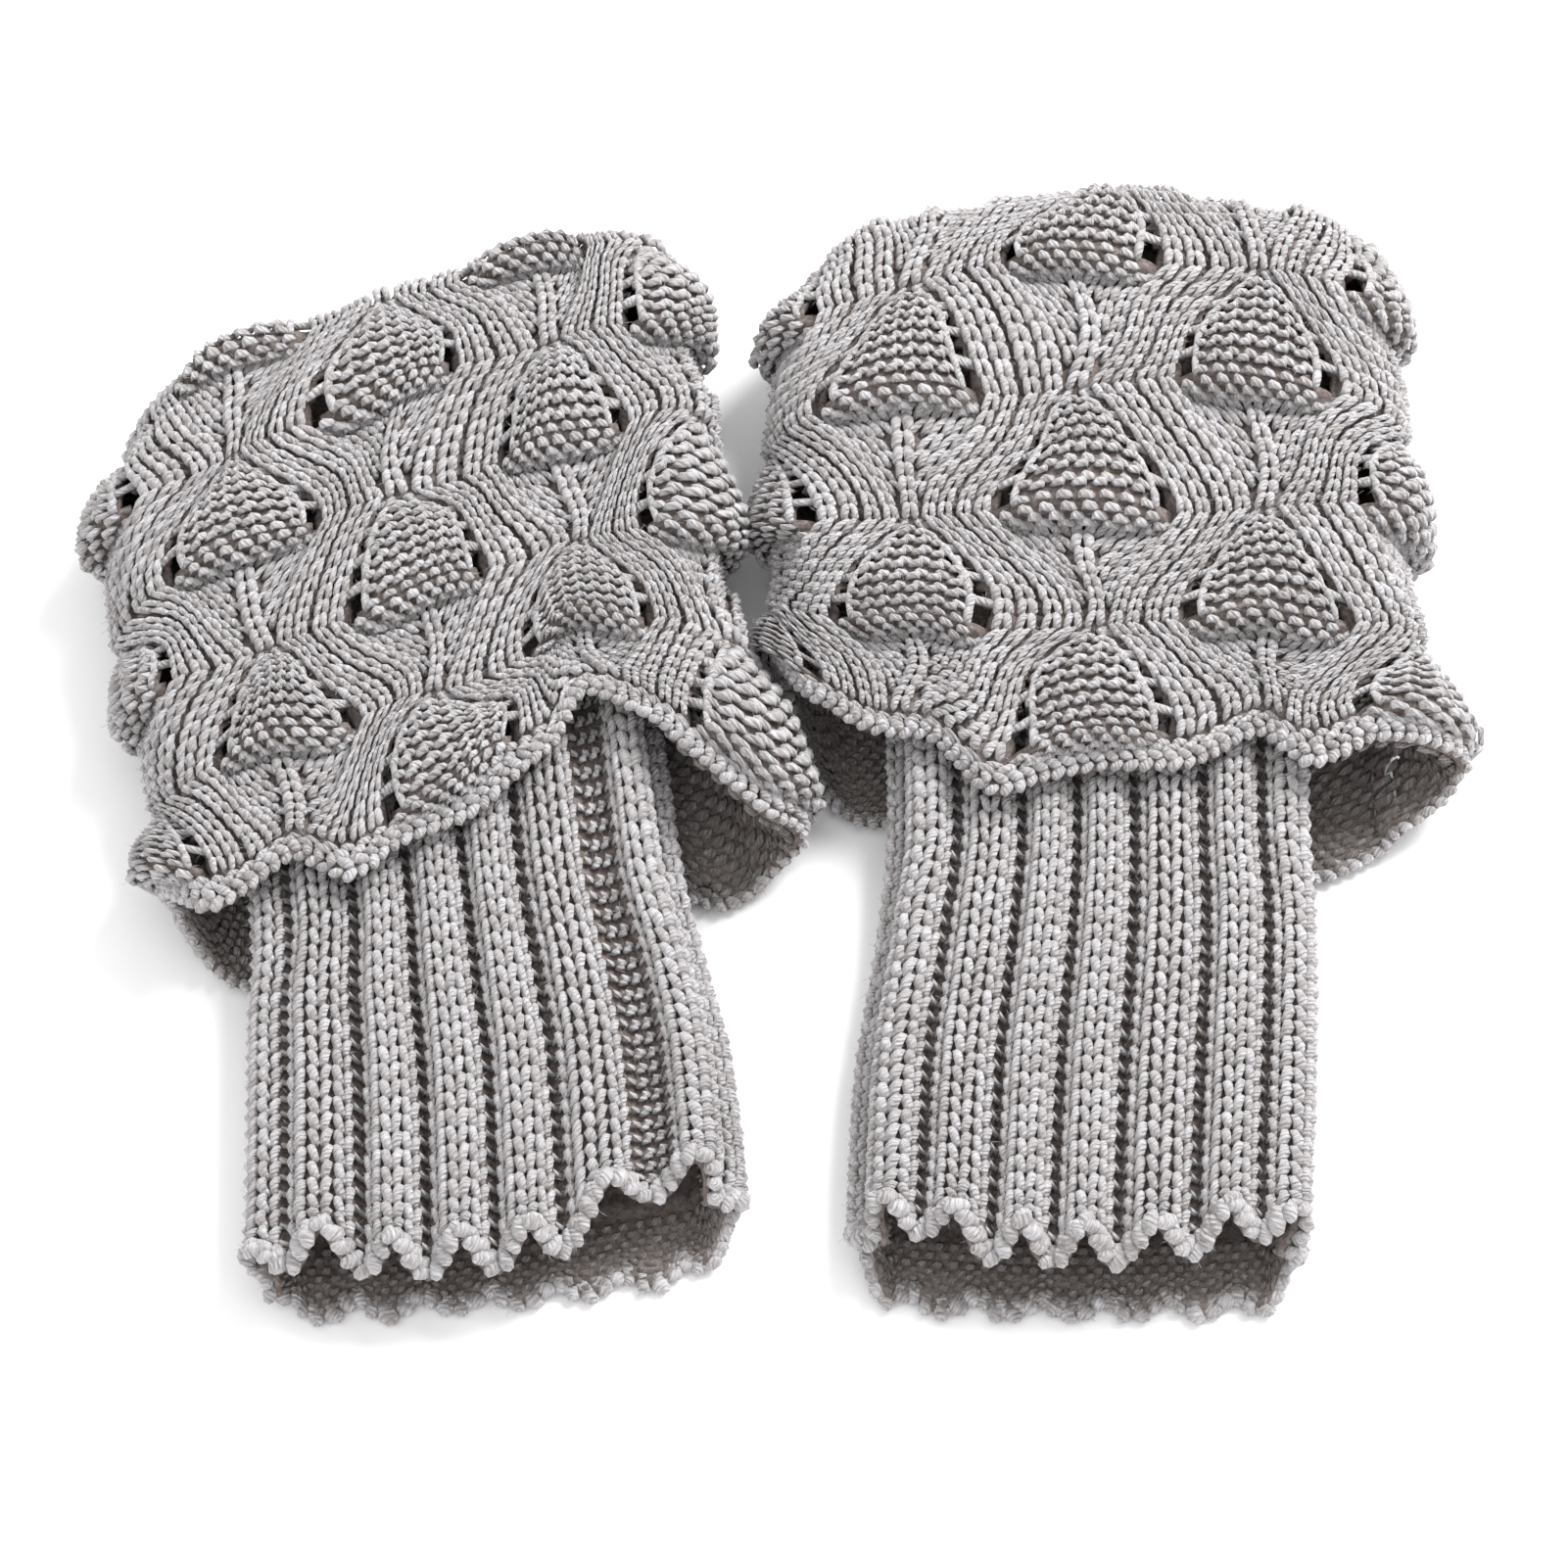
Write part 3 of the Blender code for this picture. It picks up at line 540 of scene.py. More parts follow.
class Yarn:
    """Runs of yarn gathered up, then made one mesh. Each run is a grain, thick in its middle."""

    def __init__(self, sides=5, rings=4):
        grain = bmesh.new()
        bmesh.ops.create_uvsphere(grain, u_segments=sides, v_segments=rings, radius=1.0)
        self.points = np.array([vert.co for vert in grain.verts])
        self.faces = [[vert.index for vert in face.verts] for face in grain.faces]
        grain.free()
        self.places, self.turns, self.tones = [], [], []

    def keep(self, points, turns, tones):
        """Keeps the grains' points, how far the yarn is turned at each and the tone of each grain."""
        points[..., 2] = np.maximum(points[..., 2], FLOOR_GAP)
        self.places.append(points.reshape(-1, 3))
        self.turns.append(np.tile(turns, (len(tones), 1)))
        self.tones.append(np.repeat(tones, len(self.points)))

    def add(self, surface, length, place, width_mm, run, thickness, wale=None, relief=None, tone=None):
        """One run for each stitch; surface(length, place, rise, height) gives the points."""
        count = len(length)
        if count == 0:
            return
        ring = self.points
        part = (ring[:, 2] + 1) / 2
        size = run.size * (1 + random.normal(0, RUN_SIZE, count))
        jitter = random.normal(0, RUN_SHIFT, (count, 4))
        start_across = run.start_across + jitter[:, :1]
        end_across = run.end_across + jitter[:, 1:2]
        arc = np.sin(math.pi * part)
        across = start_across + (end_across - start_across) * part + run.bow * arc
        along = run.start_along + (run.end_along - run.start_along) * part + jitter[:, 2:3]
        height = run.end_height + (run.mid_height - run.end_height) * arc + jitter[:, 3:4] * 0.7
        line = np.array([run.end_across - run.start_across, run.end_along - run.start_along])
        reach = np.hypot(*line)
        side = np.array([line[1], -line[0]]) / reach
        round_part = np.sqrt(np.clip(1 - ring[:, 2] ** 2, 0, 1))
        swell = np.where(round_part > 0, (RUN_END + (1 - RUN_END) * round_part) * thickness, 0.0)
        direction = ring[:, :2] / np.maximum(round_part, 1e-6)[:, None]
        wide = direction[:, 0] * swell * size[:, None]
        high = direction[:, 1] * swell * size[:, None]
        at = length[:, None] + along + side[1] * wide
        middle = length[:, None] + along
        centre = round_at = place[:, None] + 0 * middle
        if wale:
            centre, round_at = wale(at, place[:, None]), wale(middle, place[:, None])
        round_place = centre + (across + side[0] * wide) / width_mm
        rise = relief(middle, round_at + across / width_mm) if relief else 0 * middle
        points = surface(at, round_place, rise, height + high)
        tones = random.random(count) if tone is None else tone
        self.keep(points, np.column_stack([direction, part * reach]), tones)

    def add_rope(self, line, out, pitch, half_length, thickness, lean, start=0.0):
        """Thick beads end to end along a closed line, each leaning across it; out faces outwards.

        Where out faces down, the beads are moved in by their thickness, off the surface."""
        line = line - out * thickness * np.clip(-out[:, 2:], 0, 1)
        steps = np.linalg.norm(np.roll(line, -1, axis=0) - line, axis=1)
        travel = np.concatenate([[0.0], np.cumsum(steps)])
        count = int(travel[-1] / pitch)
        at = (np.arange(count) + start) * travel[-1] / count
        closed = np.concatenate([line, line[:1]])
        faces_out = np.concatenate([out, out[:1]])
        place = np.stack([np.interp(at, travel, closed[:, axis]) for axis in range(3)], -1)
        ahead = np.stack([np.interp(at + 0.5, travel, closed[:, axis])
                          for axis in range(3)], -1) - place
        up = np.stack([np.interp(at, travel, faces_out[:, axis]) for axis in range(3)], -1)
        along = unit(ahead)
        across = unit(np.cross(up, along))
        up = np.cross(along, across)
        tilt = lean + random.normal(0, BEAD_TILT, (count, 1))
        cos, sin = np.cos(tilt), np.sin(tilt)
        along, across = along * cos + across * sin, across * cos - along * sin
        size = 1 + random.normal(0, BEAD_SIZE, (count, 1, 1))
        ring = self.points[None]
        offset = (ring[..., 2:] * half_length * along[:, None] + ring[..., :1] * thickness * across[:, None]
                  + ring[..., 1:2] * thickness * up[:, None])
        spin = np.column_stack([self.points[:, :2], (self.points[:, 2] + 1) * half_length])
        self.keep(place[:, None] + offset * size, spin, random.random(count))

    def finish(self, name, material):
        """All the runs as one mesh, with the attributes that the yarn's material reads."""
        places = np.concatenate(self.places)
        shift = np.arange(0, len(places), len(self.points))[:, None]
        faces = [corners for face in self.faces for corners in (shift + np.array(face)).tolist()]
        data = bpy.data.meshes.new(name)
        data.from_pydata(at_origin(places).tolist(), [], faces)
        twist = data.attributes.new("twist", "FLOAT_VECTOR", "POINT")
        twist.data.foreach_set("vector", np.concatenate(self.turns).astype(np.float32).ravel())
        tone = data.attributes.new("tone", "FLOAT", "POINT")
        tone.data.foreach_set("value", np.concatenate(self.tones).astype(np.float32))
        return yarn_piece(name, data, material)


def tube_cloth(name, surface, lengths, count, gone, material):
    """Thin closed cloth tube, a grid rolled up: gone(row, column) says which faces are holes."""
    grid = bmesh.new()
    bmesh.ops.create_grid(grid, x_segments=count, y_segments=len(lengths) - 1, size=0.5)
    grid.verts.ensure_lookup_table()
    flat = np.array([vert.co for vert in grid.verts])
    column = np.rint((flat[:, 0] + 0.5) * count).astype(int)
    row = np.rint((flat[:, 1] + 0.5) * (len(lengths) - 1)).astype(int)
    uv = grid.loops.layers.uv.new("cloth")
    holes = []
    for face in grid.faces:
        centre = face.calc_center_median()
        spot = (int((centre.y + 0.5) * (len(lengths) - 1)), int((centre.x + 0.5) * count))
        if spot in gone:
            holes.append(face)
        for loop in face.loops:
            loop[uv].uv = (loop.vert.co.x + 0.5, loop.vert.co.y + 0.5)
    bmesh.ops.delete(grid, geom=holes, context="FACES_ONLY")
    points = at_origin(surface(np.asarray(lengths)[row], column / count))
    for vert, point in zip(grid.verts, points):
        vert.co = point
    loose = [vert for vert in grid.verts if not vert.link_faces]
    bmesh.ops.delete(grid, geom=loose, context="VERTS")
    bmesh.ops.remove_doubles(grid, verts=grid.verts[:], dist=0.00001)
    bmesh.ops.recalc_face_normals(grid, faces=grid.faces[:])
    data = bpy.data.meshes.new(name)
    grid.to_mesh(data)
    grid.free()
    piece = yarn_piece(name, data, material)
    wall = piece.modifiers.new("wall", "SOLIDIFY")
    wall.thickness = CLOTH_WALL * MM
    wall.offset = -1.0
    return piece


def both_strands(run):
    """The run and the same run on the other side of its stitch."""
    return run, run._replace(start_across=-run.start_across, end_across=-run.end_across, bow=-run.bow)


def knit_strand(width, row, tip_first, mid_height=0.55, size=1.0):
    """One strand of a knit stitch's V, laid from its tip to its open end or the other way."""
    tip, wide = 0.09 * width, 0.33 * width
    if tip_first:
        return Run(tip, -0.30 * row, wide, 1.0 * row, 0.10, -0.55, mid_height, size)
    return Run(wide, -0.45 * row, tip, 0.85 * row, 0.10, -0.55, mid_height, size)


def purl_bumps(width, row):
    """The two bumps of a purl stitch: an arch over it and a hollow one to its neighbour."""
    arch = Run(-0.42 * width, -0.12 * row, 0.42 * width, -0.12 * row, -0.24 * row, -0.55, 0.5, 1.0)
    hollow = Run(0.10 * width, 0.62 * row, 0.90 * width, 0.62 * row, 0.24 * row, -0.55, 0.45, 1.0)
    return arch, hollow


# Places of the yarn-over holes down each slanted edge of a dome, from its base to its tip
HOLE_PLACES = (0.07, 0.19, 0.31, 0.43)
BAR_PLACES = (0.13, 0.25, 0.37, 0.49)   # and of the bars of yarn between and after them
HOLE_LENGTH = 4.6       # a hole's length and width in millimetres
HOLE_WIDTH = 3.4
HOLE_INSET = 0.03       # its middle, in from the motif's edge in columns
EDGE_INSET = 0.11       # the strand along the dome's edge, in from the motif's edge in columns
EDGE_GAIN = 0.18        # and how much closer it comes towards the tip
UNDER_COLUMNS = (4.75, 7.25)    # columns of the cuff that lie on the surface
CUFF_END = 9.0          # the stitches stop this far before the cuff's turned-in end
LEG_UNDER = (0.6, 0.9)  # part of the way round a leg that lies on the surface
SHADED_TONE = (-2.0, -1.1)      # the inside of the knitting is seen in shade, so its yarn is darker
HOLE_END = 34.0         # no holes are open past the turn of the fold
MOUTH_DRAWN = 2.2       # how far the lower edge of the mouth is drawn back
LEG_SHOWN = 116.0       # the leg's stitches run this far up, well under the cuff
HEM_INSIDE = 34.0       # how far in from the hem the back of the cuff shows
MOUTH_INSIDE = 14.0     # and the back of the leg from its mouth
FIBRE_LENGTH = (1.0, 2.6)   # shortest and longest stray fibre
FIBRE_THICK = 0.04      # half the thickness of a stray fibre, drawn coarser than it is to show
CUFF_FIBRES = 7200
LEG_FIBRES = 4400
CAST_OFF_PITCH = 2.5    # spacing of the cast-off beads round the hem
CAST_OFF = 1.05         # half their thickness
CAST_OFF_BEAD = 1.6     # and half their length
ROPE_PITCH = 2.7        # spacing of the thick cast-on beads round the mouth
ROPE = 1.35             # half their thickness
ROPE_BEAD = 1.9         # and half their length
ROPE_LEAN = 0.9         # how far they lean across the edge, in radians
CUFF_EDGE_POINTS = 1600     # points of the lines that the beads follow, round a hem
LEG_EDGE_POINTS = 1200      # and round a mouth
LEG_WALES = ((0.165, 0.29), (0.5, 0.42), (0.835, 0.29))   # middle and width of a rib's wales, in shares
PURL_WIDTH = (2.0, 2.2)     # least and usual width of a purl stitch between the ribs
BAND_WALES = (0.14, 0.37, 0.63, 0.86)   # middles of the knit stitches across a waving band
FAN_WALES = 4           # knit stitches at each side of the spine, where the fan is widest
GROOVE_DEPTH = 0.9      # the purl stitches in the middle of a waving band lie this deep
GARTER_LINES = ((4.3, 0.0, 0.9, -0.45), (3.0, 0.5, 1.2, 0.45))    # from the hem, shifted, high, bow
CAST_OFF_LINES = ((1.9, -0.4, -0.8, 0.0), (0.1, -1.1, 0.8, 0.5))  # from the hem, high, lean, start
CAST_ON_LINES = ((1.6, 0.0), (0.0, 0.5))    # from the mouth's edge, start
BAR_LENGTH = 4.8        # a bar of yarn across a lace hole's edge
LIP_REACH = 3.75        # the curled lip under a dome reaches this many stitches to each side
LIP_ROWS = ((0.4, 0.3, 0.0), (1.3, 1.6, 0.5), (1.6, 3.1, 0.0))    # below the base, lower, shifted


def lies_under(column):
    column = np.mod(column, COLUMNS)
    return (column > UNDER_COLUMNS[0]) & (column < UNDER_COLUMNS[1])


def in_hole(warmer, length, column):
    """Whether a spot of the cuff lies in one of the lace's holes."""
    half, place = half_motif(warmer, length, column)
    off = np.abs(column - np.round(column))
    found = np.zeros(np.shape(place), bool)
    for spot in HOLE_PLACES:
        down = (place - spot) * warmer["repeat"] / (HOLE_LENGTH / 2)
        across = (off - half + HOLE_INSET) * COLUMN_WIDTH / (HOLE_WIDTH / 2)
        found |= down ** 2 + across ** 2 < 1
    return found


def off_column(place, column):
    """How far a place round the cuff lies from a column, the short way."""
    return (place - column + COLUMNS / 2) % COLUMNS - COLUMNS / 2


def cuff_stitches(warmer):
    """All the stitches of a cuff: knit and purl on top, and a coarser underside."""
    knit, purl, under = Yarn(), Yarn(), Yarn(sides=4, rings=3)
    whole = cuff_length(warmer)
    row = warmer["repeat"] / 2 / LACE_ROWS
    count = int((whole - CUFF_END - HEM_BORDER) / row)
    lengths = HEM_BORDER + (np.arange(count) + 0.5) * row

    surface = partial(cuff_place, warmer)

    def half_at(length, column):
        return half_motif(warmer, length, column)[0]

    def place_at(length, column):
        return half_motif(warmer, length, column)[1]

    def in_dome(length, column):
        return place_at(length, column) < 0.5

    def in_fan(length, column):
        return place_at(length, column) > 0.5

    def gain_at(length, column):
        """How much closer to the motif's edge a dome reaches than at its base."""
        return EDGE_GAIN * np.clip(place_at(length, column), 0, 0.5)

    def lay_at(yarn, at, columns, run, wale=None, relief=None, thickness=YARN):
        """Lays a run at each place, with the coarser yarn where the cuff lies on the surface."""
        below = lies_under(wale(at, columns) if wale else columns)
        for target, chosen in ((yarn, ~below), (under, below)):
            target.add(surface, at[chosen], columns[chosen], COLUMN_WIDTH, run, thickness, wale, relief)

    def lay(yarn, base, runs, wale=None, relief=None, keep=None, thickness=YARN):
        """Lays the runs at every row of a column that keep chooses."""
        columns = np.full(count, float(base))
        wanted = np.ones(count, bool) if keep is None else keep(lengths, columns)
        for run in runs:
            lay_at(yarn, lengths[wanted], columns[wanted], run, wale, relief, thickness)

    def level(height):
        """Relief of one height throughout."""
        return lambda length, place: 0 * length + height

    arch, hollow = purl_bumps(STITCH_MM, row)
    knit_v = both_strands(knit_strand(STITCH_MM, row, tip_first=False))
    spine_v = both_strands(knit_strand(STITCH_MM * 1.15, row, tip_first=False,
                                       mid_height=0.8, size=1.08))
    edge = Run(0.0, -0.35 * row, 0.0, 1.05 * row, 0.0, -0.4, 0.55, 0.95)

    for column in range(COLUMNS):
        def dome_relief(length, place, column=column):
            where = place_at(length, np.float64(column))
            where = np.where(where > 0.75, 0.0, np.minimum(where, 0.5))
            half = np.maximum(half_at(length, np.float64(column)), 0.06)
            return dome_rise(where, off_column(place, column) / half)

        def fan_relief(length, place, column=column):
            where = place_at(length, np.float64(column))
            where = np.clip(np.where(where < 0.25, 1.0, where), 0.5, 1.0)
            return fan_rise(where, off_column(place, column) / STITCH)

        # The band to the right of this column's motif: knit two, purl one, knit two
        def band_wale(length, base, part=0.5):
            return base + half_at(length, base) + part * band_width(warmer, length, base)

        for part in BAND_WALES:
            lay(knit, column, knit_v, partial(band_wale, part=part), level(band_rise(part)),
                thickness=BAND_YARN)
        lay(purl, column, [arch], band_wale, level(-GROOVE_DEPTH), thickness=GROOVE_YARN)

        # The knit fan: slanting wales that end at the raised spine
        for side in (-1, 1):
            for inset in (np.arange(FAN_WALES) + 0.5) * STITCH:
                def wale(length, base, side=side, inset=inset):
                    return base + side * (half_at(length, base) - inset)

                def keep(length, base, inset=inset):
                    return in_fan(length, base) & (half_at(length, base) - inset > 0.05)

                lay(knit, column, knit_v, wale, fan_relief, keep)
        lay(knit, column, spine_v, None, lambda *at, rise=fan_relief: rise(*at) + 0.25, in_fan)

        # The purl dome, its slanting edges and the bars between its holes
        first = HEM_BORDER + (column % 2) * warmer["repeat"] / 2
        bars = np.array([first + (turn + place) * warmer["repeat"]
                         for turn in range(-1, 4) for place in BAR_PLACES])
        bars = bars[(bars > HEM_BORDER + 1) & (bars < whole - CUFF_END)]
        for offset in range(-4, 5):
            for run, shift in ((arch, 0.0), (hollow, 0.5)):
                def keep(length, base, reach=1.1 + abs(offset + shift)):
                    reached = half_at(length, base) + gain_at(length, base)
                    return in_dome(length, base) & (reached > reach * STITCH)

                lay(purl, column + offset * STITCH, [run], None, dome_relief, keep, DOME_YARN)
        for side in (-1, 1):
            def wale(length, base, side=side):
                inset = EDGE_INSET - gain_at(length, base)
                return base + side * np.maximum(half_at(length, base) - inset, 0.0)

            lay(purl, column, [edge], wale, dome_relief, in_dome)
            for slant in (-0.35, 0.35):
                bar = Run(-0.3 * side, slant, BAR_LENGTH * side, -slant, 0.2, -0.4, 0.3, 1.1)
                lay_at(purl, bars, np.full(len(bars), float(column)), bar, wale, dome_relief)

        # The curled lip along each dome's base
        half_repeat = LACE_ROWS * row
        first = HEM_BORDER + (column % 2) * half_repeat
        for line in np.arange(first, whole - CUFF_FADE[0], 2 * half_repeat):
            for offset in np.arange(-LIP_REACH, LIP_REACH - 0.25):
                for down, lower, shift in LIP_ROWS:
                    off = (offset + shift) * STITCH
                    height = dome_rise(0.0, off / MOTIF_WIDE) - lower
                    at, spot = np.array([line - down]), np.array([column + off])
                    lay_at(purl, at, spot, arch, None, level(height))

    # Garter ridges along the hem, and the cast-off edge that closes it
    places = np.arange(COLUMNS * STITCHES) * STITCH
    for line, shift, height, bow in GARTER_LINES:
        run = Run(-0.5 * STITCH_MM, 0.0, 0.5 * STITCH_MM, 0.0, bow, -0.5, 0.5, 1.0)
        lay_at(purl, np.full(len(places), line), places + shift * STITCH, run, None, level(height))

    all_round = np.linspace(0, COLUMNS, CUFF_EDGE_POINTS, endpoint=False)
    for line, height, lean, start in CAST_OFF_LINES:
        at, rise = np.full(CUFF_EDGE_POINTS, line), np.full(CUFF_EDGE_POINTS, BORDER_RISE)
        edge, above = [surface(at, all_round, rise, height + more) for more in (0, 1)]
        purl.add_rope(edge, above - edge, CAST_OFF_PITCH, CAST_OFF_BEAD, CAST_OFF, lean, start)

    # The back of the knitting shows inside the hem, at both sides of the leg
    def inside(length, column, rise, height):
        return cuff_place(warmer, length, column, 0 * rise, CLOTH_TOP - CLOTH_WALL - height)

    spots = places[(places > 3.4) | (places < 0.3)]
    for line in np.arange(0.8, HEM_INSIDE, row / 2):
        shift = 0.5 * (round(line / row * 2) % 2)
        under.add(inside, np.full(len(spots), line), spots + shift * STITCH, COLUMN_WIDTH, arch, YARN,
                  tone=random.uniform(*SHADED_TONE, len(spots)))
    return knit, purl, under


def stray_fibres(yarns, count):
    """Loose fibres that stand off the yarn and soften its outline, each a thin closed spindle."""
    fibres = Yarn(sides=3, rings=2)
    places, centres, outward = [], [], []
    for yarn in yarns:
        size = len(yarn.points)
        points = np.concatenate(yarn.places)
        places.append(points)
        centres.append(np.repeat(points.reshape(-1, size, 3).mean(1), size, axis=0))
        outward.append(np.concatenate(yarn.turns)[:, 1] > 0.2)
    chosen = random.choice(np.flatnonzero(np.concatenate(outward)), count, replace=False)
    root = np.concatenate(places)[chosen]
    away = unit(root - np.concatenate(centres)[chosen])
    along = unit(away * random.uniform(0.1, 0.9, (count, 1)) + random.normal(0, 0.6, (count, 3)))
    side = unit(np.cross(along, away))
    up = np.cross(side, along)
    half = random.uniform(*FIBRE_LENGTH, (count, 1, 1)) / 2
    ring = fibres.points[None]
    points = (root[:, None] + (ring[..., 2:] + 0.7) * half * along[:, None]
              + FIBRE_THICK * (ring[..., :1] * side[:, None] + ring[..., 1:2] * up[:, None]))
    fibres.keep(points, 0 * fibres.points, random.random(count))
    return fibres


def on_the_floor(part_round):
    """Whether a place round a leg lies on the surface, where its stitches are coarser."""
    return LEG_UNDER[0] < part_round % 1.0 < LEG_UNDER[1]


def leg_stitches(warmer):
    """The ribs of a leg: three wales of knit stitches each, purl stitches between, a cast-on edge."""
    knit, purl, under = Yarn(), Yarn(), Yarn(sides=4, rings=3)
    places, whole = rib_places(warmer)
    lengths = np.arange(1.6, LEG_SHOWN, LEG_ROW)

    surface = partial(leg_place, warmer)

    def relief(length, place):
        return rib_shape(warmer, place)

    def lay(yarn, spot, runs, thickness):
        """Lays runs at every row of a wale, coarser where the leg lies on the surface."""
        target = under if on_the_floor(spot) else yarn
        for run in runs:
            target.add(surface, lengths, np.full(len(lengths), spot), whole, run, thickness,
                       relief=relief)

    for start, end, valley_end in places:
        body = (end - start) * whole
        for part, share in LEG_WALES:
            strands = both_strands(knit_strand(share * body, LEG_ROW, tip_first=True,
                                               mid_height=0.5))
            lay(knit, start + part * (end - start), strands, LEG_YARN)
        valley = (valley_end - end) * whole
        beads = max(1, round(valley / PURL_WIDTH[1]))
        bumps = purl_bumps(max(valley / beads, PURL_WIDTH[0]), LEG_ROW)
        for nth in range(beads):
            lay(purl, end + (nth + 0.5) / beads * (valley_end - end), bumps, VALLEY_YARN)

    # The cast-on edge: a thick rope of two rows of beads that waves with the ribs
    edge_places = np.arange(0, 1, ROPE_PITCH / whole)
    all_round = np.linspace(0, 1, LEG_EDGE_POINTS, endpoint=False)
    shape = rib_shape(warmer, all_round)
    for line, start in CAST_ON_LINES:
        at = np.full(LEG_EDGE_POINTS, line)
        edge, above = [surface(at, all_round, shape, more) for more in (0, 1)]
        purl.add_rope(edge, above - edge, ROPE_PITCH, ROPE_BEAD, ROPE, ROPE_LEAN, start)

    # The back of the knitting shows inside the mouth
    def inside(length, place, rise, height):
        return leg_place(warmer, length, place, rise, CLOTH_TOP - CLOTH_WALL - height)

    for line in np.arange(1.0, MOUTH_INSIDE, LEG_ROW / 2):
        shift = 0.5 * (round(line / LEG_ROW * 2) % 2)
        run = Run(-1.0, 0.0, 1.0, 0.0, -0.6, -0.5, 0.4, 0.9)
        spots = edge_places + shift * ROPE_PITCH / whole
        under.add(inside, np.full(len(spots), line), spots, whole, run, LEG_YARN, relief=relief,
                  tone=random.uniform(*SHADED_TONE, len(spots)))
    return knit, purl, under


def linear(colour):
    """sRGB hex digits to the linear colour that the shaders work in."""
    parts = [int(colour[i:i + 2], 16) / 255 for i in (0, 2, 4)]
    parts = [part / 12.92 if part <= 0.04045 else ((part + 0.055) / 1.055) ** 2.4 for part in parts]
    return parts + [1.0]


def add_node(tree, kind, values=None, links=None):
    """One node with its settings, the values of its sockets and what is linked to them."""
    node = tree.nodes.new(kind)
    for name, value in (values or {}).items():
        if isinstance(name, str) and hasattr(node, name):
            setattr(node, name, value)
        else:
            node.inputs[name].default_value = value
    for name, source in (links or {}).items():
        tree.links.new(source, node.inputs[name])
    return node


def math_node(tree, operation, *sockets):
    """A sum of one, two or three sockets, each a number or another node's output."""
    values = {i: socket for i, socket in enumerate(sockets) if isinstance(socket, float)}
    links = {i: socket for i, socket in enumerate(sockets) if not isinstance(socket, float)}
    return add_node(tree, "ShaderNodeMath", dict(values, operation=operation), links).outputs[0]


def bump(tree, height, strength, depth, normal=None):
    """Fine relief on a surface, its depth in millimetres."""
    links = {"Height": height, "Normal": normal} if normal else {"Height": height}
    values = {"Strength": strength, "Distance": depth * MM}
    return add_node(tree, "ShaderNodeBump", values, links).outputs["Normal"]


def object_place(tree):
    return add_node(tree, "ShaderNodeTexCoord").outputs["Object"]


def new_material(name):
    material = bpy.data.materials.new(name)
    material.use_nodes = True
    return material, material.node_tree


def finished(material, values, links):
    """Sets and links the sockets of a material's shader."""
    shader = material.node_tree.nodes["Principled BSDF"]
    for name, value in values.items():
        shader.inputs[name].default_value = value
    for name, source in links.items():
        material.node_tree.links.new(source, shader.inputs[name])
    return material


PLIES = 3.0             # plies twisted together in the yarn
PLY_PITCH = 2.6         # length of one ply's turn, in millimetres
FIBRE = 0.28            # size of the fibres' fine roughness, drawn coarser than it is to show
TONE_CHANGE = 0.12      # how much one run of yarn is lighter or darker than the next
STREAK = 0.9            # length of the lighter and darker streaks in the yarn
STREAK_COLOURS = ((0.32, "716a66"), (0.53, "a7a3a3"), (0.78, "cecdd1"))
# painted shade: the ground's yarn colour is multiplied by this, for the shade deep between the stitches
GROUND_PAINTED_SHADE = "b8afaa"
WHITE = "fbfbfc"


def heather_colour(tree, where, shift=None):
    """Light and dark fibres carded together: the yarn changes colour in short soft streaks."""
    streaks = add_node(tree, "ShaderNodeTexNoise", {"Scale": 1.0, "Detail": 4.0, "Roughness": 0.65},
                       {"Vector": where})
    shade = streaks.outputs["Fac"]
    if shift is not None:
        shade = math_node(tree, "MULTIPLY_ADD", shift, TONE_CHANGE, shade)
    ramp = add_node(tree, "ShaderNodeValToRGB", None, {"Fac": shade})
    ramp.color_ramp.elements.new(0.5)
    for element, (place, colour) in zip(ramp.color_ramp.elements, STREAK_COLOURS):
        element.position = place
        element.color = linear(colour)
    return ramp.outputs["Color"]


def plied_yarn():
    """Acrylic and wool yarn, spun and plied: matt, hairy, and its twist shows as fine slanting ribs."""
    material, tree = new_material("acrylic wool plied yarn")
    turn = add_node(tree, "ShaderNodeAttribute", {"attribute_name": "twist"})
    tone = add_node(tree, "ShaderNodeAttribute", {"attribute_name": "tone"}).outputs["Fac"]
    parts = add_node(tree, "ShaderNodeSeparateXYZ", None, {"Vector": turn.outputs["Vector"]}).outputs
    angle = math_node(tree, "ARCTAN2", parts["Y"], parts["X"])
    spun = math_node(tree, "MULTIPLY_ADD", parts["Z"], 2 * math.pi / PLY_PITCH, angle)
    # The colour follows the twist, and starts elsewhere on each run
    apart = math_node(tree, "MULTIPLY", tone, 57.0)
    where = add_node(tree, "ShaderNodeCombineXYZ", None, {
        "X": math_node(tree, "COSINE", spun), "Y": math_node(tree, "SINE", spun),
        "Z": math_node(tree, "MULTIPLY_ADD", parts["Z"], 1 / STREAK, apart)})
    colour = heather_colour(tree, where.outputs["Vector"], tone)
    wave = math_node(tree, "SINE", math_node(tree, "MULTIPLY", spun, PLIES))
    fibres = add_node(tree, "ShaderNodeTexNoise", {"Scale": 1 / (FIBRE * MM), "Detail": 4.0},
                      {"Vector": object_place(tree)})
    twisted = bump(tree, wave, 0.7, 0.2)
    hairy = bump(tree, fibres.outputs["Fac"], 0.7, 0.2, twisted)
    return finished(material, {
        "Subsurface Weight": 0.3, "Subsurface Radius": (1.0, 0.95, 0.9), "Subsurface Scale": 0.4 * MM,
        "Roughness": 0.92, "IOR": 1.5, "Specular IOR Level": 0.25, "Sheen Weight": 0.35,
        "Sheen Roughness": 0.55}, {"Base Color": colour, "Normal": hairy})


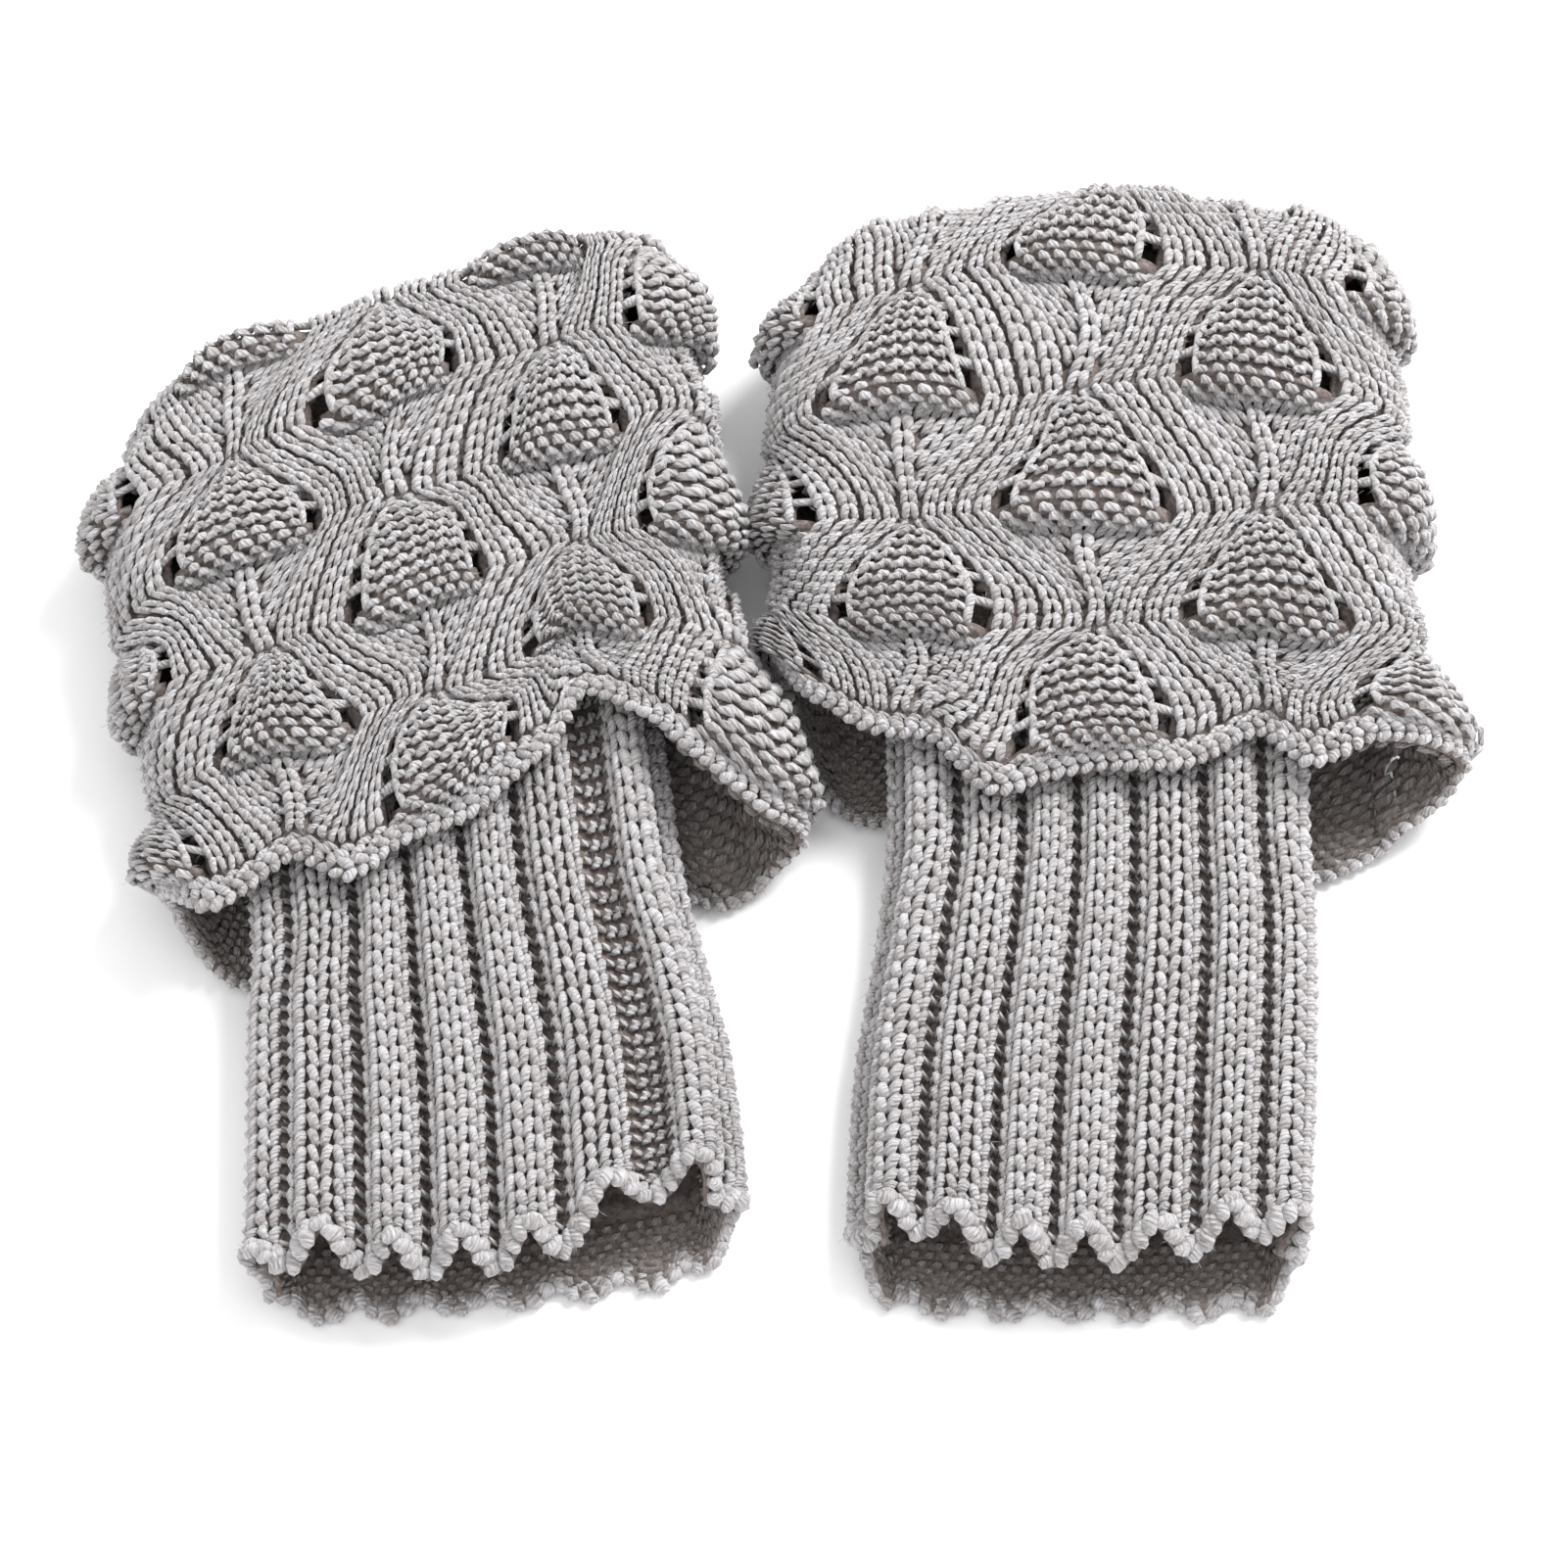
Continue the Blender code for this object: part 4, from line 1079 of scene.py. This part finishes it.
def knitted_ground():
    """The same yarn deep between the stitches, darkened there by painted shade; its loops only a soft grid
    of bumps.
    """
    material, tree = new_material("knitted ground behind the stitches")
    cloth = add_node(tree, "ShaderNodeUVMap", {"uv_map": "cloth"})
    coarse = add_node(tree, "ShaderNodeVectorMath", {"operation": "SCALE", "Scale": 1 / (STREAK * MM)},
                      {0: object_place(tree)})
    colour = heather_colour(tree, coarse.outputs["Vector"])
    # painted shade: the yarn's colour multiplied darker
    dark = add_node(tree, "ShaderNodeMix", {"data_type": "RGBA", "blend_type": "MULTIPLY", 0: 1.0,
                                            7: linear(GROUND_PAINTED_SHADE)}, {6: colour})
    loops = add_node(tree, "ShaderNodeTexWave", {"Scale": 12.0, "bands_direction": "Y"},
                     {"Vector": cloth.outputs["UV"]})
    return finished(material, {"Roughness": 0.95, "Specular IOR Level": 0.15},
                    {"Base Color": dark.outputs[2], "Normal": bump(tree, loops.outputs["Fac"], 0.6, 0.5)})


def dress(name, stitches, fibre_count, yarn):
    """Puts the stitches, with fibres that stand off them, on their cloth, which replaces the solid."""
    knit, purl, under = stitches
    fibres = stray_fibres((knit, purl), fibre_count)
    kinds = (("knit_stitches", knit), ("purl_stitches", purl), ("underside_stitches", under),
             ("stray_fibres", fibres))
    pieces = [runs.finish(f"{name}_{kind}", yarn) for kind, runs in kinds]
    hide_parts(name)


def dress_cuff(warmer, yarn, ground):
    """A cuff: thin cloth with the lace's holes, under all its stitches."""
    half_repeat = warmer["repeat"] / 2
    whole = cuff_length(warmer)
    step = half_repeat / SHELL_ROWS
    lengths = [0.0, 1.7, 3.4]
    line = HEM_BORDER
    while line < whole - 1:
        lengths += [line - LEDGE, line + LEDGE] + [line + step * j for j in range(1, SHELL_ROWS)]
        line += half_repeat
    lengths = [length for length in lengths if length < whole - 1] + [whole]
    middle = (np.array(lengths[:-1]) + np.array(lengths[1:])) / 2
    columns = (np.arange(SHELL_ROUND) + 0.5) / SHELL_ROUND * COLUMNS
    holes = in_hole(warmer, middle[:, None], columns[None, :]) & (middle[:, None] < whole - HOLE_END)
    gone = set(zip(*[spots.tolist() for spots in np.nonzero(holes)]))

    def surface(length, part):
        column = part * COLUMNS
        return cuff_place(warmer, length, column, lace_rise(warmer, length, column), CLOTH_TOP)

    name = "lace_cuff_" + warmer["name"]
    cloth = tube_cloth(name + "_cloth", surface, lengths, SHELL_ROUND, gone, ground)
    dress(name, cuff_stitches(warmer), CUFF_FIBRES, yarn)


def dress_leg(warmer, yarn, ground):
    """A leg: thin ribbed cloth under its stitches."""
    whole = leg_length(warmer)
    lengths = list(np.arange(0, whole - 1, LEG_SHELL_ROW)) + [whole]

    def surface(length, part):
        return leg_place(warmer, length, part, rib_shape(warmer, part), CLOTH_TOP)

    name = "ribbed_leg_" + warmer["name"]
    cloth = tube_cloth(name + "_cloth", surface, lengths, LEG_SHELL_ROUND, set(), ground)
    dress(name, leg_stitches(warmer), LEG_FIBRES, yarn)


def white_floor():
    """Matt white photo table: seamless, so that only a soft shadow shows on it."""
    material, tree = new_material("matt white laminate")
    grain = add_node(tree, "ShaderNodeTexNoise", {"Scale": 900.0}, {"Vector": object_place(tree)})
    finished(material, {"Base Color": linear(WHITE), "Roughness": 0.8},
             {"Normal": bump(tree, grain.outputs["Fac"], 0.03, 0.05)})
    mesh = bmesh.new()
    bmesh.ops.create_grid(mesh, x_segments=1, y_segments=1, size=FLOOR_SIZE / 2)
    data = bpy.data.meshes.new("floor")
    mesh.to_mesh(data)
    mesh.free()
    add_object("floor", data, material)


def soft_box(name, place, size, power, aim=(0.0, 0.0, 0.0)):
    data = bpy.data.lights.new(name, "AREA")
    data.shape = "DISK"
    data.size = size
    data.energy = power
    light = bpy.data.objects.new(name, data)
    light.location = place
    light.rotation_euler = (Vector(aim) - Vector(place)).to_track_quat("-Z", "Y").to_euler()
    bpy.context.scene.collection.objects.link(light)


def add_camera():
    """Seen from the front and above, as the photo was taken."""
    data = bpy.data.cameras.new("camera")
    data.lens = CAMERA_LENS
    data.sensor_width = CAMERA_SENSOR
    camera = bpy.data.objects.new("camera", data)
    back = Vector((0, -math.cos(CAMERA_HEIGHT), math.sin(CAMERA_HEIGHT)))
    camera.location = (Vector(CAMERA_TARGET) + CAMERA_DISTANCE * back) * MM
    camera.rotation_euler = (math.pi / 2 - CAMERA_HEIGHT, 0, 0)
    bpy.context.scene.collection.objects.link(camera)
    bpy.context.scene.camera = camera


yarn = plied_yarn()
ground = knitted_ground()
for warmer in (LEFT, RIGHT):
    dress_leg(warmer, yarn, ground)
    dress_cuff(warmer, yarn, ground)

white_floor()
soft_box("key", (0.6, 0.45, 0.9), 0.6, 17.0)
soft_box("front fill", (-0.5, -0.9, 0.8), 1.0, 2.5)
world = bpy.data.worlds.new("studio")
bpy.context.scene.world = world
world.use_nodes = True
background = world.node_tree.nodes["Background"]
background.inputs["Color"].default_value = (1.0, 1.0, 1.0, 1.0)
background.inputs["Strength"].default_value = WORLD_LIGHT
add_camera()
bpy.context.scene.view_settings.view_transform = "Standard"
